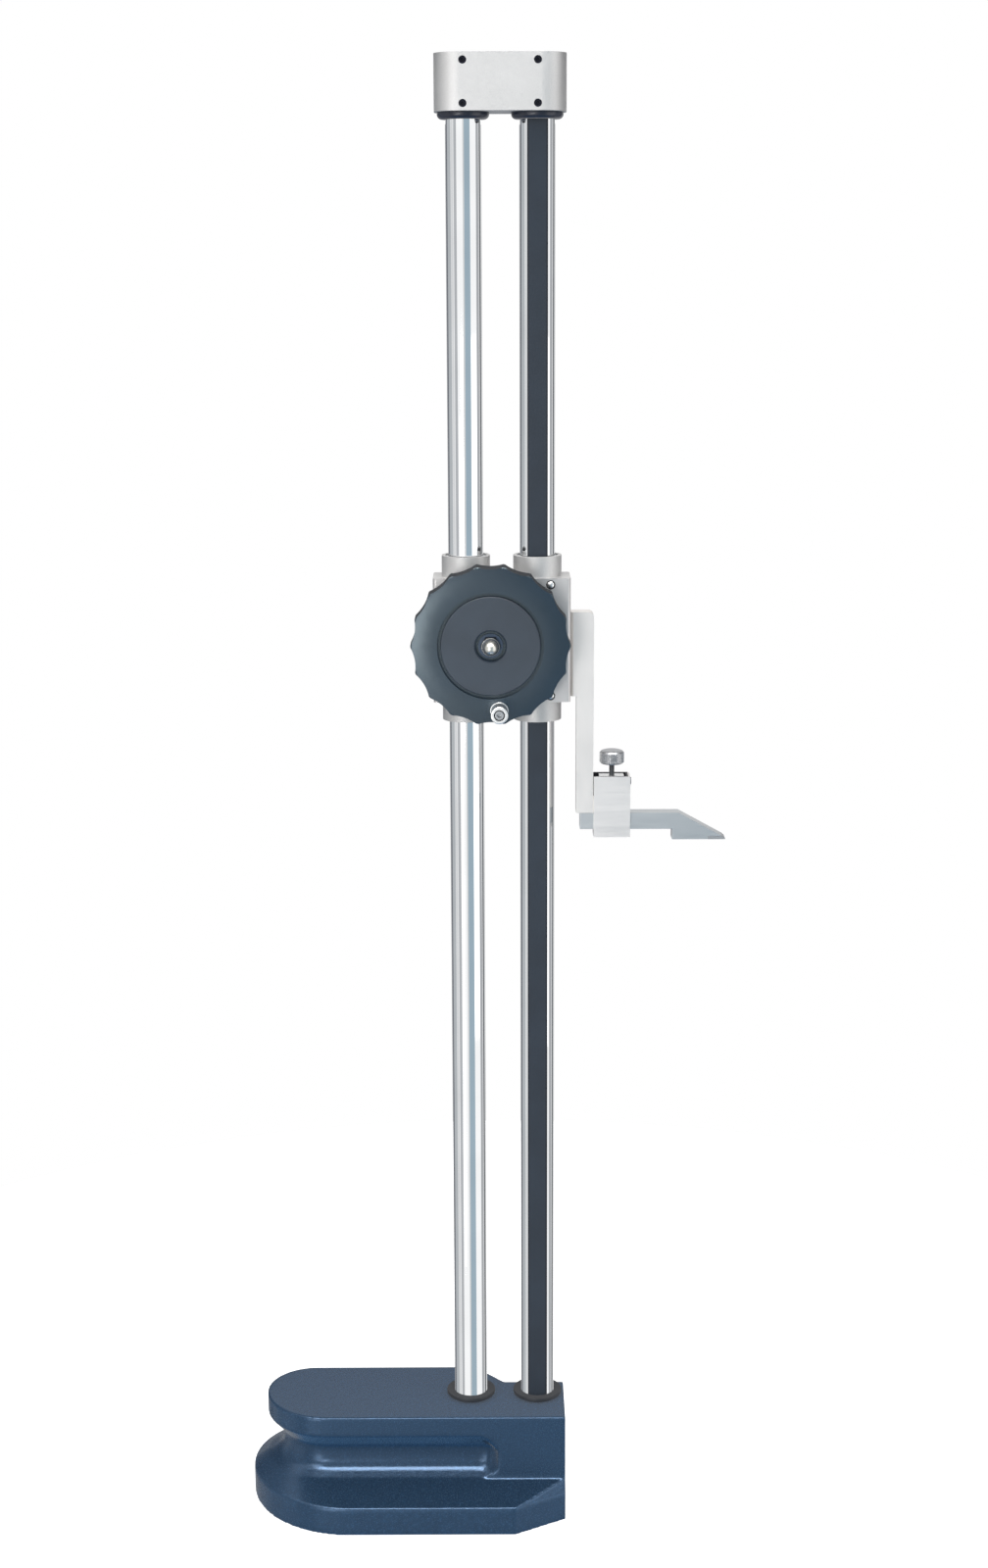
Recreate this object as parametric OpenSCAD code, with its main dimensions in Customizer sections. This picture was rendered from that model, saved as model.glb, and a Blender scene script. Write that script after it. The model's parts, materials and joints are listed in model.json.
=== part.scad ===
// Digital height gauge with two round columns, 610 mm of travel.
// Millimetres. The origin lies on the table, midway between the two columns.
// +Z is up, +X points along the scriber, -Y points at whoever turns the handwheel.

/* [Columns] */
// Distance between the axes of the two columns
column_pitch = 38; // [37:0.5:41]
// Diameter of each column
column_d = 18.5; // [17.5:0.1:19]
// Length of column between the base and the top cap
column_exposed = 710.5; // [690:0.5:760]
// Depth of each column in its socket in the base
column_socket = 45; // [35:1:50]
// Width of the dark scale strip
strip_w = 10.7; // [8:0.1:11.5]
// Thickness of the scale strip
strip_t = 0.6; // [0.4:0.1:0.8]
// How far the face of the strip lies inside the round of the column
strip_inset = 1.9; // [1.8:0.05:2.2]

/* [Rack and pinion] */
// Gear module of the rack and the pinion
gear_module = 0.8; // [0.7:0.05:0.8]
// Number of teeth on the pinion
pinion_teeth = 13; // [12:1:14]
// Width of the rack across the column
rack_w = 5; // [4:0.5:6]
// Distance of the rack's near side from the middle plane of the column
rack_near_y = 0.8; // [0.4:0.1:1.2]
// Depth from the side of the column to the rack's pitch line
rack_pitch_depth = 1.45; // [1.4:0.05:1.8]
// Play between the flanks of the teeth
backlash = 0.16; // [0.1:0.02:0.24]
// Diameter of the pinion shaft
shaft_d = 6.6; // [6:0.1:6.8]

/* [Base] */
// Height of the casting
base_h = 60; // [55:0.5:66]
// Height of the plumb side of the grip plate
plate_side_h = 11.4; // [10:0.1:14]
// Distance from the middle plane to the near side of the grip plate
plate_near = 30; // [28:0.5:33]
// Distance from the middle plane to the far side of the grip plate
plate_far = 34; // [31:0.5:37]
// Distance from the origin to the left end of the grip plate
plate_left = 136.4; // [120:0.2:150]
// Distance from the middle plane to the point of the round left end
nose_y = 7; // [0:0.5:9]
// Distance from the origin to the flat right end of the base
base_right = 34.3; // [33.5:0.1:38]
// Depth of the finger groove
groove_depth = 8.5; // [6:0.5:10]
// Height of the plumb floor of the finger groove
groove_floor_h = 6.6; // [4:0.1:7]
// Height at which the foot flange meets the grip
ridge_z = 23; // [21:0.5:26]
// Distance from the origin to the right end of the finger groove
groove_end = 13.8; // [11:0.2:18]
// Reach of the flange beyond the left end of the grip plate
flange_reach = 8.6; // [6:0.1:12]
// Distance from the middle plane to the near side of the flange
flange_near = 52; // [47:0.5:57]
// Distance from the middle plane to the far side of the flange
flange_far = 57; // [51:0.5:62]
// Height of the flange's outer wall
flange_edge_h = 16; // [12:0.5:18]
// Length of the chamfer on each right corner of the flange
toe_len = 28.7; // [24:0.1:34]
// Depth of the chamfer on each right corner of the flange
toe_depth = 16.9; // [14:0.1:22]
// Distance of the narrow part's far side from the middle plane
neck_y = 14.7; // [14:0.1:18]
// Length of the slope from the grip plate to the narrow part
neck_slope = 16.7; // [12:0.1:20]
// Distance from the origin to the end of that slope
neck_x = 0; // [0:0.1:4]
// Depth of the relief in the lapped sole
sole_relief_h = 1.5; // [1:0.1:2]
// Width of the lapped rim of the sole
sole_rim = 14; // [10:0.5:18]
// Length of the lapped pad under the columns
sole_pad = 28; // [25:0.5:32]
// Diameter of the bolts that hold the columns
column_bolt_d = 8; // [6:0.5:8]

/* [Buffers] */
// Diameter of the lower rubber buffers
lower_buffer_d = 27.5; // [24:0.1:28]
// Thickness of the lower buffers
lower_buffer_t = 2.2; // [1.5:0.1:3]
// Diameter of the rings under the lower buffers
buffer_seat_d = 23.5; // [22:0.1:26]
// Height of the rings under the lower buffers
buffer_seat_h = 1.2; // [1:0.1:3]
// Diameter of the upper buffers
upper_buffer_d = 26.8; // [24:0.1:28]
// Thickness of the upper buffers
upper_buffer_t = 3.6; // [2.5:0.1:4]

/* [Top cap] */
// Length of the cap along X
cap_len = 67.6; // [66:0.2:72]
// Depth of the cap along Y
cap_w = 35; // [32:0.5:38]
// Height of the cap
cap_h = 28.5; // [28:0.5:32]
// Radius of the cap's plumb corners
cap_corner_r = 13; // [8:0.5:15]
// Depth of the column sockets in the cap
cap_socket = 24; // [22:0.5:25]
// Height between the two rows of set screws
cap_screw_pitch = 21; // [18:0.5:21.5]
// Diameter of the cap's set screws
cap_screw_d = 4; // [3:0.5:5]

/* [Carriage] */
// Height of the carriage's middle above the table in this pose
carriage_z = 499.8; // [480:0.1:520]
// Length of the carriage block along X
block_len = 72.8; // [71:0.2:76]
// Depth of the carriage block along Y, with its front cover
block_w = 27; // [26.5:0.5:30]
// Height of the carriage block
block_h = 66.2; // [64:0.2:72]
// Radius of the block's plumb corners
block_corner_r = 1.8; // [1:0.1:2.4]
// Thickness of the front cover
cover_t = 2; // [1.5:0.1:2.5]
// Diameter of the four collars
collar_d = 25.7; // [25:0.1:26.5]
// Height of each collar
collar_h = 11.1; // [8:0.1:14]
// Length of each bush
bush_len = 14; // [10:0.5:16]
// Outer diameter of the column bushes
bush_d = 22; // [21.5:0.1:22.6]
// Diameter of the cover screws
cover_screw_d = 2.5; // [2:0.1:3]
// Diameter of the cover screw heads
cover_head_d = 4.2; // [3.6:0.1:5]
// Inset of the cover screws from the right and left ends
cover_screw_inset_x = 10.6; // [10:0.1:12]
// Inset of the cover screws from the top and bottom
cover_screw_inset_z = 3.4; // [3.2:0.1:4.2]

/* [Handwheel] */
// Diameter across the points of the handwheel
wheel_d = 84; // [78:0.5:86]
// Number of points round the rim
wheel_points = 18; // [14:1:24]
// Depth of the hollows between the points
hollow_depth = 1.7; // [1:0.1:2.2]
// Thickness of the handwheel
wheel_t = 16; // [14:0.5:20]
// Gap between the cover and the back of the handwheel's rim
wheel_gap = 3; // [2.5:0.1:5]
// Diameter of the flat face disc
face_disc_d = 52.6; // [46:0.2:54]
// Width of the groove round the face disc
face_groove = 1.7; // [1:0.1:2.2]
// Depth of the recess for the face disc
face_recess = 2.4; // [2:0.1:3]
// Diameter of the recess round the hub nut
nut_recess_d = 15.8; // [14.5:0.1:20]
// Distance from the handwheel's axis to the crank knob
knob_radius = 34.3; // [33:0.1:35]
// Angle of the crank knob, to the right of straight down
knob_angle = 7.5; // [-40:0.5:40]
// Diameter of the crank knob
knob_d = 9.1; // [8:0.1:12]
// Length of the crank knob
knob_len = 12; // [10:0.5:26]
// Diameter of the screw that the crank knob turns on
knob_screw_d = 4; // [3.5:0.1:5]

/* [Measuring arm] */
// Depth of the arm along Y
arm_w = 10; // [9:0.2:12]
// Thickness of the arm's wide part along X
arm_t = 12.7; // [11:0.1:14]
// Thickness of the arm's narrow part along X
arm_slim_t = 9.2; // [8:0.1:10]
// Height of the arm's top above the middle of the carriage
arm_top = 13.9; // [10:0.1:20]
// Length of the arm's wide part
arm_wide_len = 45.5; // [40:0.5:50]
// Height of the underside of the jaw above the table in this pose
jaw_z = 403.9; // [400:0.1:410]
// Thickness of the jaw
jaw_t = 9.6; // [8:0.1:11]
// Length of the jaw beyond the arm
jaw_len = 17.5; // [15:0.5:19]
// Diameter of the two arm screws
arm_screw_d = 4; // [3:0.5:4]

/* [Scriber and clamp] */
// Height and width of the square scriber bar
scriber_size = 9; // [8:0.1:9.5]
// Length of the scriber
scriber_len = 79; // [70:1:100]
// Length of the scriber behind the clamp
scriber_tail = 7.4; // [5:0.1:8]
// Drop of the scriber's nose below the bar
nose_drop = 5.9; // [4:0.1:6.5]
// Length of the scriber's nose
nose_len = 29; // [27:0.5:34]
// Length of the slope on the nose
slope_len = 25.4; // [20:0.1:26]
// Length of the carbide tip
tip_len = 9.4; // [7:0.1:12]
// Thickness of the carbide tip
tip_t = 1.7; // [1.2:0.1:2.2]
// Length of the clamp along X
clamp_len = 19.8; // [18:0.1:22]
// Thickness of the clamp's floor
clamp_floor = 4; // [3:0.1:5]
// Thickness of the clamp's side walls
clamp_wall = 1.5; // [1.2:0.1:2.5]
// Height of the bridge that the clamp screw goes through
bridge_h = 7.3; // [6:0.1:9]
// Space between the jaw and the bridge
bridge_gap = 3.5; // [2.5:0.1:5]
// Diameter of the clamp screw's stem
clamp_screw_d = 3; // [2.5:0.1:4]
// Diameter of the clamp screw's head
clamp_head_d = 13.4; // [11:0.1:16]
// Height of the clamp screw's head
clamp_head_h = 7.8; // [6:0.1:10]
// Length of stem between the bridge and the head
clamp_stem = 6; // [4:0.1:9]

/* [Readout] */
// Length of the readout along X
readout_len = 66; // [66:0.5:68]
// Height of the readout
readout_h = 40; // [40:0.5:41]
// Depth of the readout along Y
readout_t = 18; // [17:0.5:22]
// Wall of the readout housing
readout_wall = 2; // [1.5:0.1:2.2]
// Thickness of the readout's outer panel
panel_t = 2; // [2:0.1:2.5]
// Height of the readout's middle above the middle of the carriage
readout_rise = 7.7; // [7.7:0.1:10]
// Length of the display window
window_len = 36; // [30:0.5:37]
// Height of the display window
window_h = 14; // [10:0.5:14.5]
// Diameter of the four buttons
button_d = 6; // [5:0.1:6.4]
// Distance between neighbouring buttons
button_pitch = 10; // [8.5:0.1:10]
// Travel of the buttons
button_travel = 0.8; // [0.5:0.1:1]
// Diameter of the coin cell
cell_d = 20; // [16:0.5:20]
// Thickness of the coin cell
cell_t = 3.2; // [2:0.1:3.2]

/* [Lock screw] */
// Diameter of the lock screw's knurled head
lock_head_d = 16; // [12:0.5:16]
// Depth of the lock screw below the middle of the carriage
lock_drop = 23.8; // [23:0.1:25]
// Diameter of the lock screw's thread
lock_screw_d = 5; // [4:0.5:6]

/* [Fits] */
// Radial clearance of a shaft or column that slides or turns
running_fit = 0.05; // [0.03:0.01:0.08]
// Clearance round a seated piece
seat_fit = 0.02; // [0.02:0.01:0.05]
// Gap between a moving piece and its neighbour
clear_gap = 0.3; // [0.2:0.05:0.4]

/* [Hidden] */
$fn = 96;
eps = 0.01;

column_r = column_d / 2;
main_x = -column_pitch / 2;
scale_x = column_pitch / 2;
cap_z = base_h + column_exposed;
column_bottom = base_h - column_socket;
column_thread = 21;
column_top = cap_z + cap_socket;

// The rack: its pitch line and the pinion's axis follow from the column
pitch_step = PI * gear_module;
pinion_pitch_r = gear_module * pinion_teeth / 2;
pinion_tip_r = pinion_pitch_r + gear_module;
pinion_root_r = pinion_pitch_r - 1.2 * gear_module;
rack_pitch_x = column_r - rack_pitch_depth;
rack_tip_x = rack_pitch_x + 0.7 * gear_module;
rack_root_x = rack_pitch_x - 1.2 * gear_module;
wheel_x = main_x + rack_pitch_x + pinion_pitch_r;
pressure_angle = 20;
pinion_y = rack_near_y + 0.25;
pinion_w = rack_w - 0.5;

// The carriage runs between the buffers
block_front = -block_w / 2;
block_back = block_w / 2;
cover_back = block_front + cover_t;
collar_top = carriage_z + block_h / 2 + collar_h;
collar_bottom = carriage_z - block_h / 2 - collar_h;
lower_stop = base_h + buffer_seat_h + lower_buffer_t;
upper_stop = cap_z - upper_buffer_t;
stop_gap = 1.7;
travel_up = upper_stop - stop_gap - collar_top;
travel_down = collar_bottom - lower_stop - stop_gap;
rack_margin = 2.5 * pitch_step;
rack_low = carriage_z - travel_down - rack_margin;
rack_high = carriage_z + travel_up + rack_margin;
bore_relief = 0.6;
cover_screw_bite = 1.7;
bore_wall = 1.2;
arm_bite = block_len / 2 - scale_x - column_r - bore_relief - bore_wall;

// The handwheel stands in front of the cover
wheel_back = block_front - wheel_gap;
wheel_front = wheel_back - wheel_t;
hub_r = 10;
disc_floor = wheel_front + face_recess;
nut_floor = wheel_front + 3.6;
knob_x = wheel_x + knob_radius * sin(knob_angle);
knob_z = carriage_z - knob_radius * cos(knob_angle);
knob_collar_t = 1.8;
knob_collar_r = knob_d / 2 + 0.25;
knob_back = wheel_front - knob_collar_t - clear_gap;
bush_flange_t = 1.2;

// The arm, the clamp and the scriber
arm_x = block_len / 2;
arm_out_x = arm_x + arm_t;
arm_slim_x = arm_out_x - arm_slim_t;
scriber_fit = 0.1;
scriber_top = jaw_z - scriber_fit;
scriber_bottom = scriber_top - scriber_size;
clamp_x = arm_out_x + clear_gap;
clamp_mid = clamp_x + clamp_len / 2;
clamp_bottom = scriber_bottom - scriber_fit - clamp_floor;
jaw_w = 8.8;
slot_w = max(scriber_size, jaw_w) + 2 * scriber_fit;
clamp_w = slot_w + 2 * clamp_wall;
jaw_top = jaw_z + jaw_t;
bridge_z = jaw_top + bridge_gap;
clamp_top = bridge_z + bridge_h;
scriber_x = clamp_x - scriber_tail;
nose_x = scriber_x + scriber_len;
nose_z = scriber_bottom - nose_drop;

// The readout hangs on the back of the block
readout_z = carriage_z + readout_rise;
readout_back = block_back + readout_t;
panel_y = readout_back - panel_t;
readout_floor = block_back + readout_wall;
board_t = 1.6;
board_y = panel_y - 5.5;
board_len = 54;
board_h = 30;
board_rise = 0.5;
board_post_x = 23;
board_post_z = 11;
lcd_t = 3.4;
window_x = -10;
window_z = readout_z + 8;
window_t = 1.4;
window_ledge = 1;
button_z = readout_z - 9;
button_x0 = -23;
cell_x = 20.5;
cell_z = readout_z - 4;
cover_w = cell_d - 0.6;
cover_top = cell_z + cell_d / 2 + 0.8;
cover_depth = 1.2;
port_y = panel_y - 8;
port_w = 8;
port_h = 12;
port_t = 1;
port_slide = 8;
panel_screw_at = [[-30, 17], [-30, -17], [30, 17], [6, -17]];
panel_screw_r = 1;
post_r = 1.8;

// Points of an arc in the plane, from angle a0 to a1 in n steps
function arc(cx, cy, r, a0, a1, n) =
    [for (i = [0 : n]) let (a = a0 + (a1 - a0) * i / n) [cx + r * cos(a), cy + r * sin(a)]];

// Turns a shape drawn in the XZ plane into a prism from y0 to y1
module prism_y(y0, y1) {
    translate([0, y1, 0]) rotate([90, 0, 0]) linear_extrude(y1 - y0) children();
}

// Turns a shape drawn in the YZ plane into a prism from x0 to x1
module prism_x(x0, x1) {
    translate([x0, 0, 0]) rotate([90, 0, 90]) linear_extrude(x1 - x0) children();
}

// Round bar along Y
module bar_y(r, y0, y1) {
    translate([0, y1, 0]) rotate([90, 0, 0]) cylinder(r = r, h = y1 - y0);
}

// Round bar along X
module bar_x(r, x0, x1) {
    translate([x0, 0, 0]) rotate([0, 90, 0]) cylinder(r = r, h = x1 - x0);
}

// Revolved profile about the Y axis: points are [radius, y]
module revolve_y(points) {
    rotate([-90, 0, 0]) rotate_extrude() polygon(points);
}

// Box given by its two corners
module block(low, high) {
    translate(low) cube(high - low);
}

module at_both_columns() {
    for (x = [main_x, scale_x]) translate([x, 0, 0]) children();
}

// Ring between two heights
module ring(r_out, r_in, z0, z1) {
    translate([0, 0, z0]) difference() {
        cylinder(r = r_out, h = z1 - z0);
        translate([0, 0, -1]) cylinder(r = r_in, h = z1 - z0 + 2);
    }
}

// Hexagon socket, open towards +Z, of a given width across flats
module hex_socket(flats, depth) {
    cylinder(d = flats / cos(30), h = depth, $fn = 6);
}

// Knurled disc outline
module knurl(r, n, depth) {
    difference() {
        circle(r);
        for (i = [0 : n - 1])
            rotate(360 * i / n) translate([r + depth * 0.4, 0]) circle(r = depth * 1.4, $fn = 4);
    }
}

// Outline with a square right end; two quarter rounds meet at the point of its left end
module tongue(left, right, near, far) {
    near_r = near + nose_y;
    far_r = far - nose_y;
    translate([-left + near_r, -near]) square([left - near_r + right, near_r + eps]);
    translate([-left + far_r, nose_y]) square([left - far_r + right, far_r]);
    intersection() {
        translate([-left + near_r, nose_y]) circle(near_r);
        translate([-left, -near]) square([near_r + eps, near_r + eps]);
    }
    intersection() {
        translate([-left + far_r, nose_y]) circle(far_r);
        translate([-left, nose_y]) square([far_r + eps, far_r]);
    }
}

groove_top = base_h - plate_side_h;
groove_low = ridge_z + 9.5;
groove_mid_top = groove_low + groove_floor_h;
// Section of the grip for a corner of radius r: [distance outwards from its centre, height]
function grip_section(r) = concat(
    [[0, base_h], [r, base_h], [r, groove_top], [r - groove_depth, groove_mid_top]],
    arc(r, groove_low, groove_depth, 180, 228, 5),
    [[r, ridge_z], [0, ridge_z]]
);

// One side of the grip plate and its groove, swept round its corner and along to x_end
module grip_side(r, turn, x_end) {
    corner_x = -plate_left + r;
    translate([corner_x, 0, 0]) rotate([0, 0, turn]) rotate_extrude(angle = 90) polygon(grip_section(r));
    prism_x(corner_x, x_end) polygon([for (p = grip_section(r)) [turn > 90 ? -p[0] : p[0], p[1]]]);
}

module grip(x_end) {
    translate([0, nose_y, 0]) {
        grip_side(plate_near + nose_y, 180, x_end);
        grip_side(plate_far - nose_y, 90, x_end);
    }
}

module toe_cut() {
    polygon([[eps, eps], [-toe_len, eps], [-toe_len, 0], [eps, -toe_depth - eps]]);
}

module flange_outline() {
    difference() {
        tongue(plate_left + flange_reach, base_right, flange_near, flange_far);
        translate([base_right, flange_far]) toe_cut();
        translate([base_right, -flange_near]) mirror([0, 1]) toe_cut();
    }
}

// Mouth of the groove's right end, turned about a plumb axis
module groove_runout() {
    mouth = 2;
    translate([-groove_end, -plate_near - mouth, 0]) rotate_extrude() polygon(concat(
        [[0, groove_top], [mouth, groove_top], [mouth + groove_depth, groove_mid_top]],
        [for (p = arc(0, groove_low, groove_depth, 0, -48, 5)) [mouth + p[0], p[1]]],
        [[mouth, ridge_z], [0, ridge_z]]
    ));
}

module neck_cut() {
    slope_dy = plate_far - neck_y;
    far = 2 * plate_far;
    linear_extrude(base_h + 1) polygon([
        [neck_x, neck_y], [base_right + 1, neck_y], [base_right + 1, far],
        [neck_x - neck_slope * (far - neck_y) / slope_dy, far]
    ]);
}

module base_casting() {
    color("#38506a") difference() {
        union() {
            linear_extrude(flange_edge_h) flange_outline();
            hull() {
                translate([0, 0, flange_edge_h - eps]) linear_extrude(eps) flange_outline();
                translate([0, 0, ridge_z]) linear_extrude(eps)
                    tongue(plate_left, base_right, plate_near, plate_far);
            }
            difference() {
                union() {
                    grip(-groove_end);
                    block([-groove_end - eps, -plate_near, ridge_z], [base_right, plate_far, base_h]);
                }
                groove_runout();
                translate([0, 0, ridge_z]) neck_cut();
            }
        }
        at_both_columns() {
            translate([0, 0, column_bottom]) cylinder(r = column_r + seat_fit, h = base_h);
            translate([0, 0, -1]) cylinder(d = column_bolt_d + 0.4, h = base_h);
            translate([0, 0, -1]) cylinder(r = column_bolt_d * 0.75 + 0.75, h = column_bolt_d + 3);
        }
        translate([0, 0, -1]) linear_extrude(sole_relief_h + 1)
            tongue(plate_left + flange_reach - sole_rim, -sole_pad, flange_near - sole_rim, flange_far - sole_rim);
    }
}

// Column with its tapped hole for the bolt from below
module column_bar() {
    difference() {
        translate([0, 0, column_bottom]) cylinder(r = column_r, h = column_top - column_bottom);
        translate([0, 0, column_bottom - 1])
            cylinder(d = column_bolt_d + 2 * seat_fit, h = column_thread + 1);
    }
}

// One side view of all the rack's gaps, as a single comb
module rack_comb() {
    half_gap = pitch_step / 4 + backlash / 4;
    lean = tan(pressure_angle);
    gaps_down = floor((carriage_z - rack_low) / pitch_step);
    gaps_up = floor((rack_high - carriage_z) / pitch_step);
    polygon(concat(
        [[column_r + 1, rack_low - pitch_step], [rack_tip_x, rack_low - pitch_step]],
        [for (i = [-gaps_down : gaps_up]) let (z = carriage_z + i * pitch_step)
            for (p = [[rack_tip_x, -half_gap - (rack_tip_x - rack_pitch_x) * lean],
                      [rack_root_x, -half_gap + (rack_pitch_x - rack_root_x) * lean],
                      [rack_root_x, half_gap - (rack_pitch_x - rack_root_x) * lean],
                      [rack_tip_x, half_gap + (rack_tip_x - rack_pitch_x) * lean]])
                [p[0], z + p[1]]],
        [[rack_tip_x, rack_high + pitch_step], [column_r + 1, rack_high + pitch_step]]
    ));
}

module main_column() {
    color("#d5d9de") translate([main_x, 0, 0]) difference() {
        column_bar();
        prism_y(rack_near_y, rack_near_y + rack_w) rack_comb();
    }
}

strip_y = -column_r + strip_inset;
flat_y = strip_y + strip_t;

module scale_column() {
    color("#d5d9de") translate([scale_x, 0, 0]) difference() {
        column_bar();
        block([-strip_w / 2 - seat_fit, -column_r - 1, base_h],
              [strip_w / 2 + seat_fit, flat_y, cap_z]);
    }
}

module scale_strip() {
    color("#3d434e")
        block([scale_x - strip_w / 2, strip_y, base_h], [scale_x + strip_w / 2, flat_y, cap_z]);
}

module column_bolts() {
    head_h = column_bolt_d;
    seat_z = column_bolt_d + 2;
    color("#4a4d52") at_both_columns() difference() {
        union() {
            translate([0, 0, seat_z]) cylinder(d = column_bolt_d, h = column_bottom + column_thread - 3 - seat_z);
            translate([0, 0, seat_z - head_h]) cylinder(r = column_bolt_d * 0.75, h = head_h);
        }
        translate([0, 0, seat_z - head_h - eps]) hex_socket(column_bolt_d * 0.75, head_h / 2);
    }
}

module lower_buffer_seats() {
    color("#25282d") at_both_columns()
        ring(buffer_seat_d / 2, column_r + running_fit, base_h, base_h + buffer_seat_h);
}

module lower_buffers() {
    color("#1f2226") at_both_columns()
        ring(lower_buffer_d / 2, column_r + running_fit, base_h + buffer_seat_h, lower_stop);
}

bowl_angle = -75;

// Each upper buffer is a shallow bowl with its wide rim against the cap
module upper_buffers() {
    bore = column_r + running_fit;
    rim = upper_buffer_d / 2;
    color("#2a2f38") at_both_columns() translate([0, 0, upper_stop]) rotate_extrude() polygon(concat(
        [[bore, 0], [rim - upper_buffer_t, 0]],
        arc(rim - upper_buffer_t * 0.7, upper_buffer_t * 0.7, upper_buffer_t * 0.7, bowl_angle, 0, 5),
        [[rim, upper_buffer_t], [bore, upper_buffer_t]]
    ));
}

module rounded_plan(len, w, r) {
    square([len, w - 2 * r], center = true);
    square([len - 2 * r, w], center = true);
    for (x = [-1, 1], y = [-1, 1]) translate([x * (len / 2 - r), y * (w / 2 - r)]) circle(r);
}

cap_screw_low = cap_z + (cap_h - cap_screw_pitch) / 2 - 0.2;
cap_screw_sink = 1.5;

module at_cap_screws() {
    for (i = [0, 1]) at_both_columns() translate([0, 0, cap_screw_low + i * cap_screw_pitch]) children();
}

module top_cap() {
    color("#d9dbde") difference() {
        translate([0, 0, cap_z]) linear_extrude(cap_h) rounded_plan(cap_len, cap_w, cap_corner_r);
        at_both_columns() translate([0, 0, cap_z - 1])
            cylinder(r = column_r + seat_fit, h = cap_socket + 1);
        at_cap_screws() bar_y(cap_screw_d / 2 + seat_fit, -cap_w, -column_r + 1.5);
    }
}

module cap_set_screws() {
    color("#33363b") for (i = [0, 1]) at_both_columns()
        translate([0, 0, cap_screw_low + i * cap_screw_pitch]) difference() {
            bar_y(cap_screw_d / 2, -cap_w / 2 + cap_screw_sink, -column_r - seat_fit);
            translate([0, -cap_w / 2 + cap_screw_sink - eps, 0]) rotate([-90, 0, 0])
                hex_socket(cap_screw_d / 2, 2.2);
        }
}

module at_bush_ends() {
    for (s = [0, 1]) translate([0, 0, carriage_z]) mirror([0, 0, s])
        translate([0, 0, block_h / 2 + collar_h]) children();
}

lock_z = carriage_z - lock_drop;
lock_boss_r = lock_screw_d / 2 + 3.5;
lock_boss_y = block_back + 4;
bearing_r = pinion_tip_r + 0.5;
front_bearing_r = 5.5;
sensor_w = 12;
sensor_h = 48;
sensor_y = strip_y - 0.7;
sensor_t = 1.6;

// The part of the block's plan between two distances from the middle plane
module block_plan(near, far) {
    intersection() {
        rounded_plan(block_len, block_w, block_corner_r);
        translate([-block_len, near]) square([2 * block_len, far - near]);
    }
}

module carriage_block() {
    color("#b4b8bd") difference() {
        union() {
            translate([0, 0, carriage_z - block_h / 2]) linear_extrude(block_h)
                block_plan(cover_back, block_w);
            intersection() {
                at_both_columns() translate([0, 0, collar_bottom])
                    cylinder(d = collar_d, h = collar_top - collar_bottom);
                union() {
                    block([-block_len, -block_w, collar_bottom - 1],
                          [block_len, block_w, carriage_z - block_h / 2]);
                    block([-block_len, -block_w, carriage_z + block_h / 2],
                          [block_len, block_w, collar_top + 1]);
                }
            }
            translate([main_x, 0, lock_z]) bar_y(lock_boss_r, block_back - eps, lock_boss_y);
        }
        at_both_columns() translate([0, 0, collar_bottom - 1])
            cylinder(r = column_r + bore_relief, h = collar_top - collar_bottom + 2);
        at_both_columns() at_bush_ends() translate([0, 0, -bush_len])
            cylinder(d = bush_d + 2 * seat_fit, h = bush_len + 1);
        translate([wheel_x, 0, carriage_z]) {
            bar_y(bearing_r + seat_fit, rack_near_y - 0.4, block_back + 1);
            bar_y(front_bearing_r + seat_fit, cover_back - 1, rack_near_y);
        }
        translate([main_x, 0, lock_z]) bar_y(lock_screw_d / 2 + seat_fit, 0, lock_boss_y + 1);
        block([scale_x - sensor_w / 2 - 1, sensor_y - sensor_t, carriage_z - sensor_h / 2 - 1],
              [scale_x + sensor_w / 2 + 1, 0, carriage_z + sensor_h / 2 + 1]);
        at_cover_screws() bar_y(cover_screw_d / 2 + seat_fit, cover_back - 1, cover_back + cover_screw_bite + 0.1);
        at_arm_screws() bar_x(arm_screw_d / 2 + seat_fit, arm_x - arm_bite - 0.4, arm_x + 1);
    }
}

module at_cover_screws() {
    for (x = [-1, 1], z = [-1, 1])
        translate([x * (block_len / 2 - cover_screw_inset_x), 0,
                   carriage_z + z * (block_h / 2 - cover_screw_inset_z)]) children();
}

module front_cover() {
    color("#b4b8bd") difference() {
        translate([0, 0, carriage_z - block_h / 2]) linear_extrude(block_h)
            block_plan(-block_w, cover_back);
        at_cover_screws() bar_y(cover_screw_d / 2 + seat_fit, block_front - 1, cover_back + 1);
        translate([wheel_x, 0, carriage_z]) bar_y(front_bearing_r + seat_fit, block_front - 1, cover_back + 1);
    }
}

dome_angle = 80;
dome_h = 1.5;

module cover_screws() {
    color("#dfe3e8") at_cover_screws() {
        bar_y(cover_screw_d / 2, block_front - eps, cover_back + cover_screw_bite);
        revolve_y(concat([[0, block_front - dome_h]],
            [for (p = arc(0, 0, 1, dome_angle, 0, 5)) [cover_head_d / 2 * p[0], block_front - dome_h * p[1]]],
            [[0, block_front]]));
    }
}

module column_bushes() {
    at_bush_ends() translate([0, 0, -bush_len]) difference() {
        cylinder(d = bush_d, h = bush_len - 0.5);
        translate([0, 0, -1]) cylinder(r = column_r + running_fit, h = bush_len + 1);
    }
}

module main_column_bushes() {
    color("#c79a4b") translate([main_x, 0, 0]) column_bushes();
}

module scale_column_bushes() {
    color("#c79a4b") translate([scale_x, 0, 0]) column_bushes();
}

rear_bush_y = column_r + 0.5;

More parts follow.
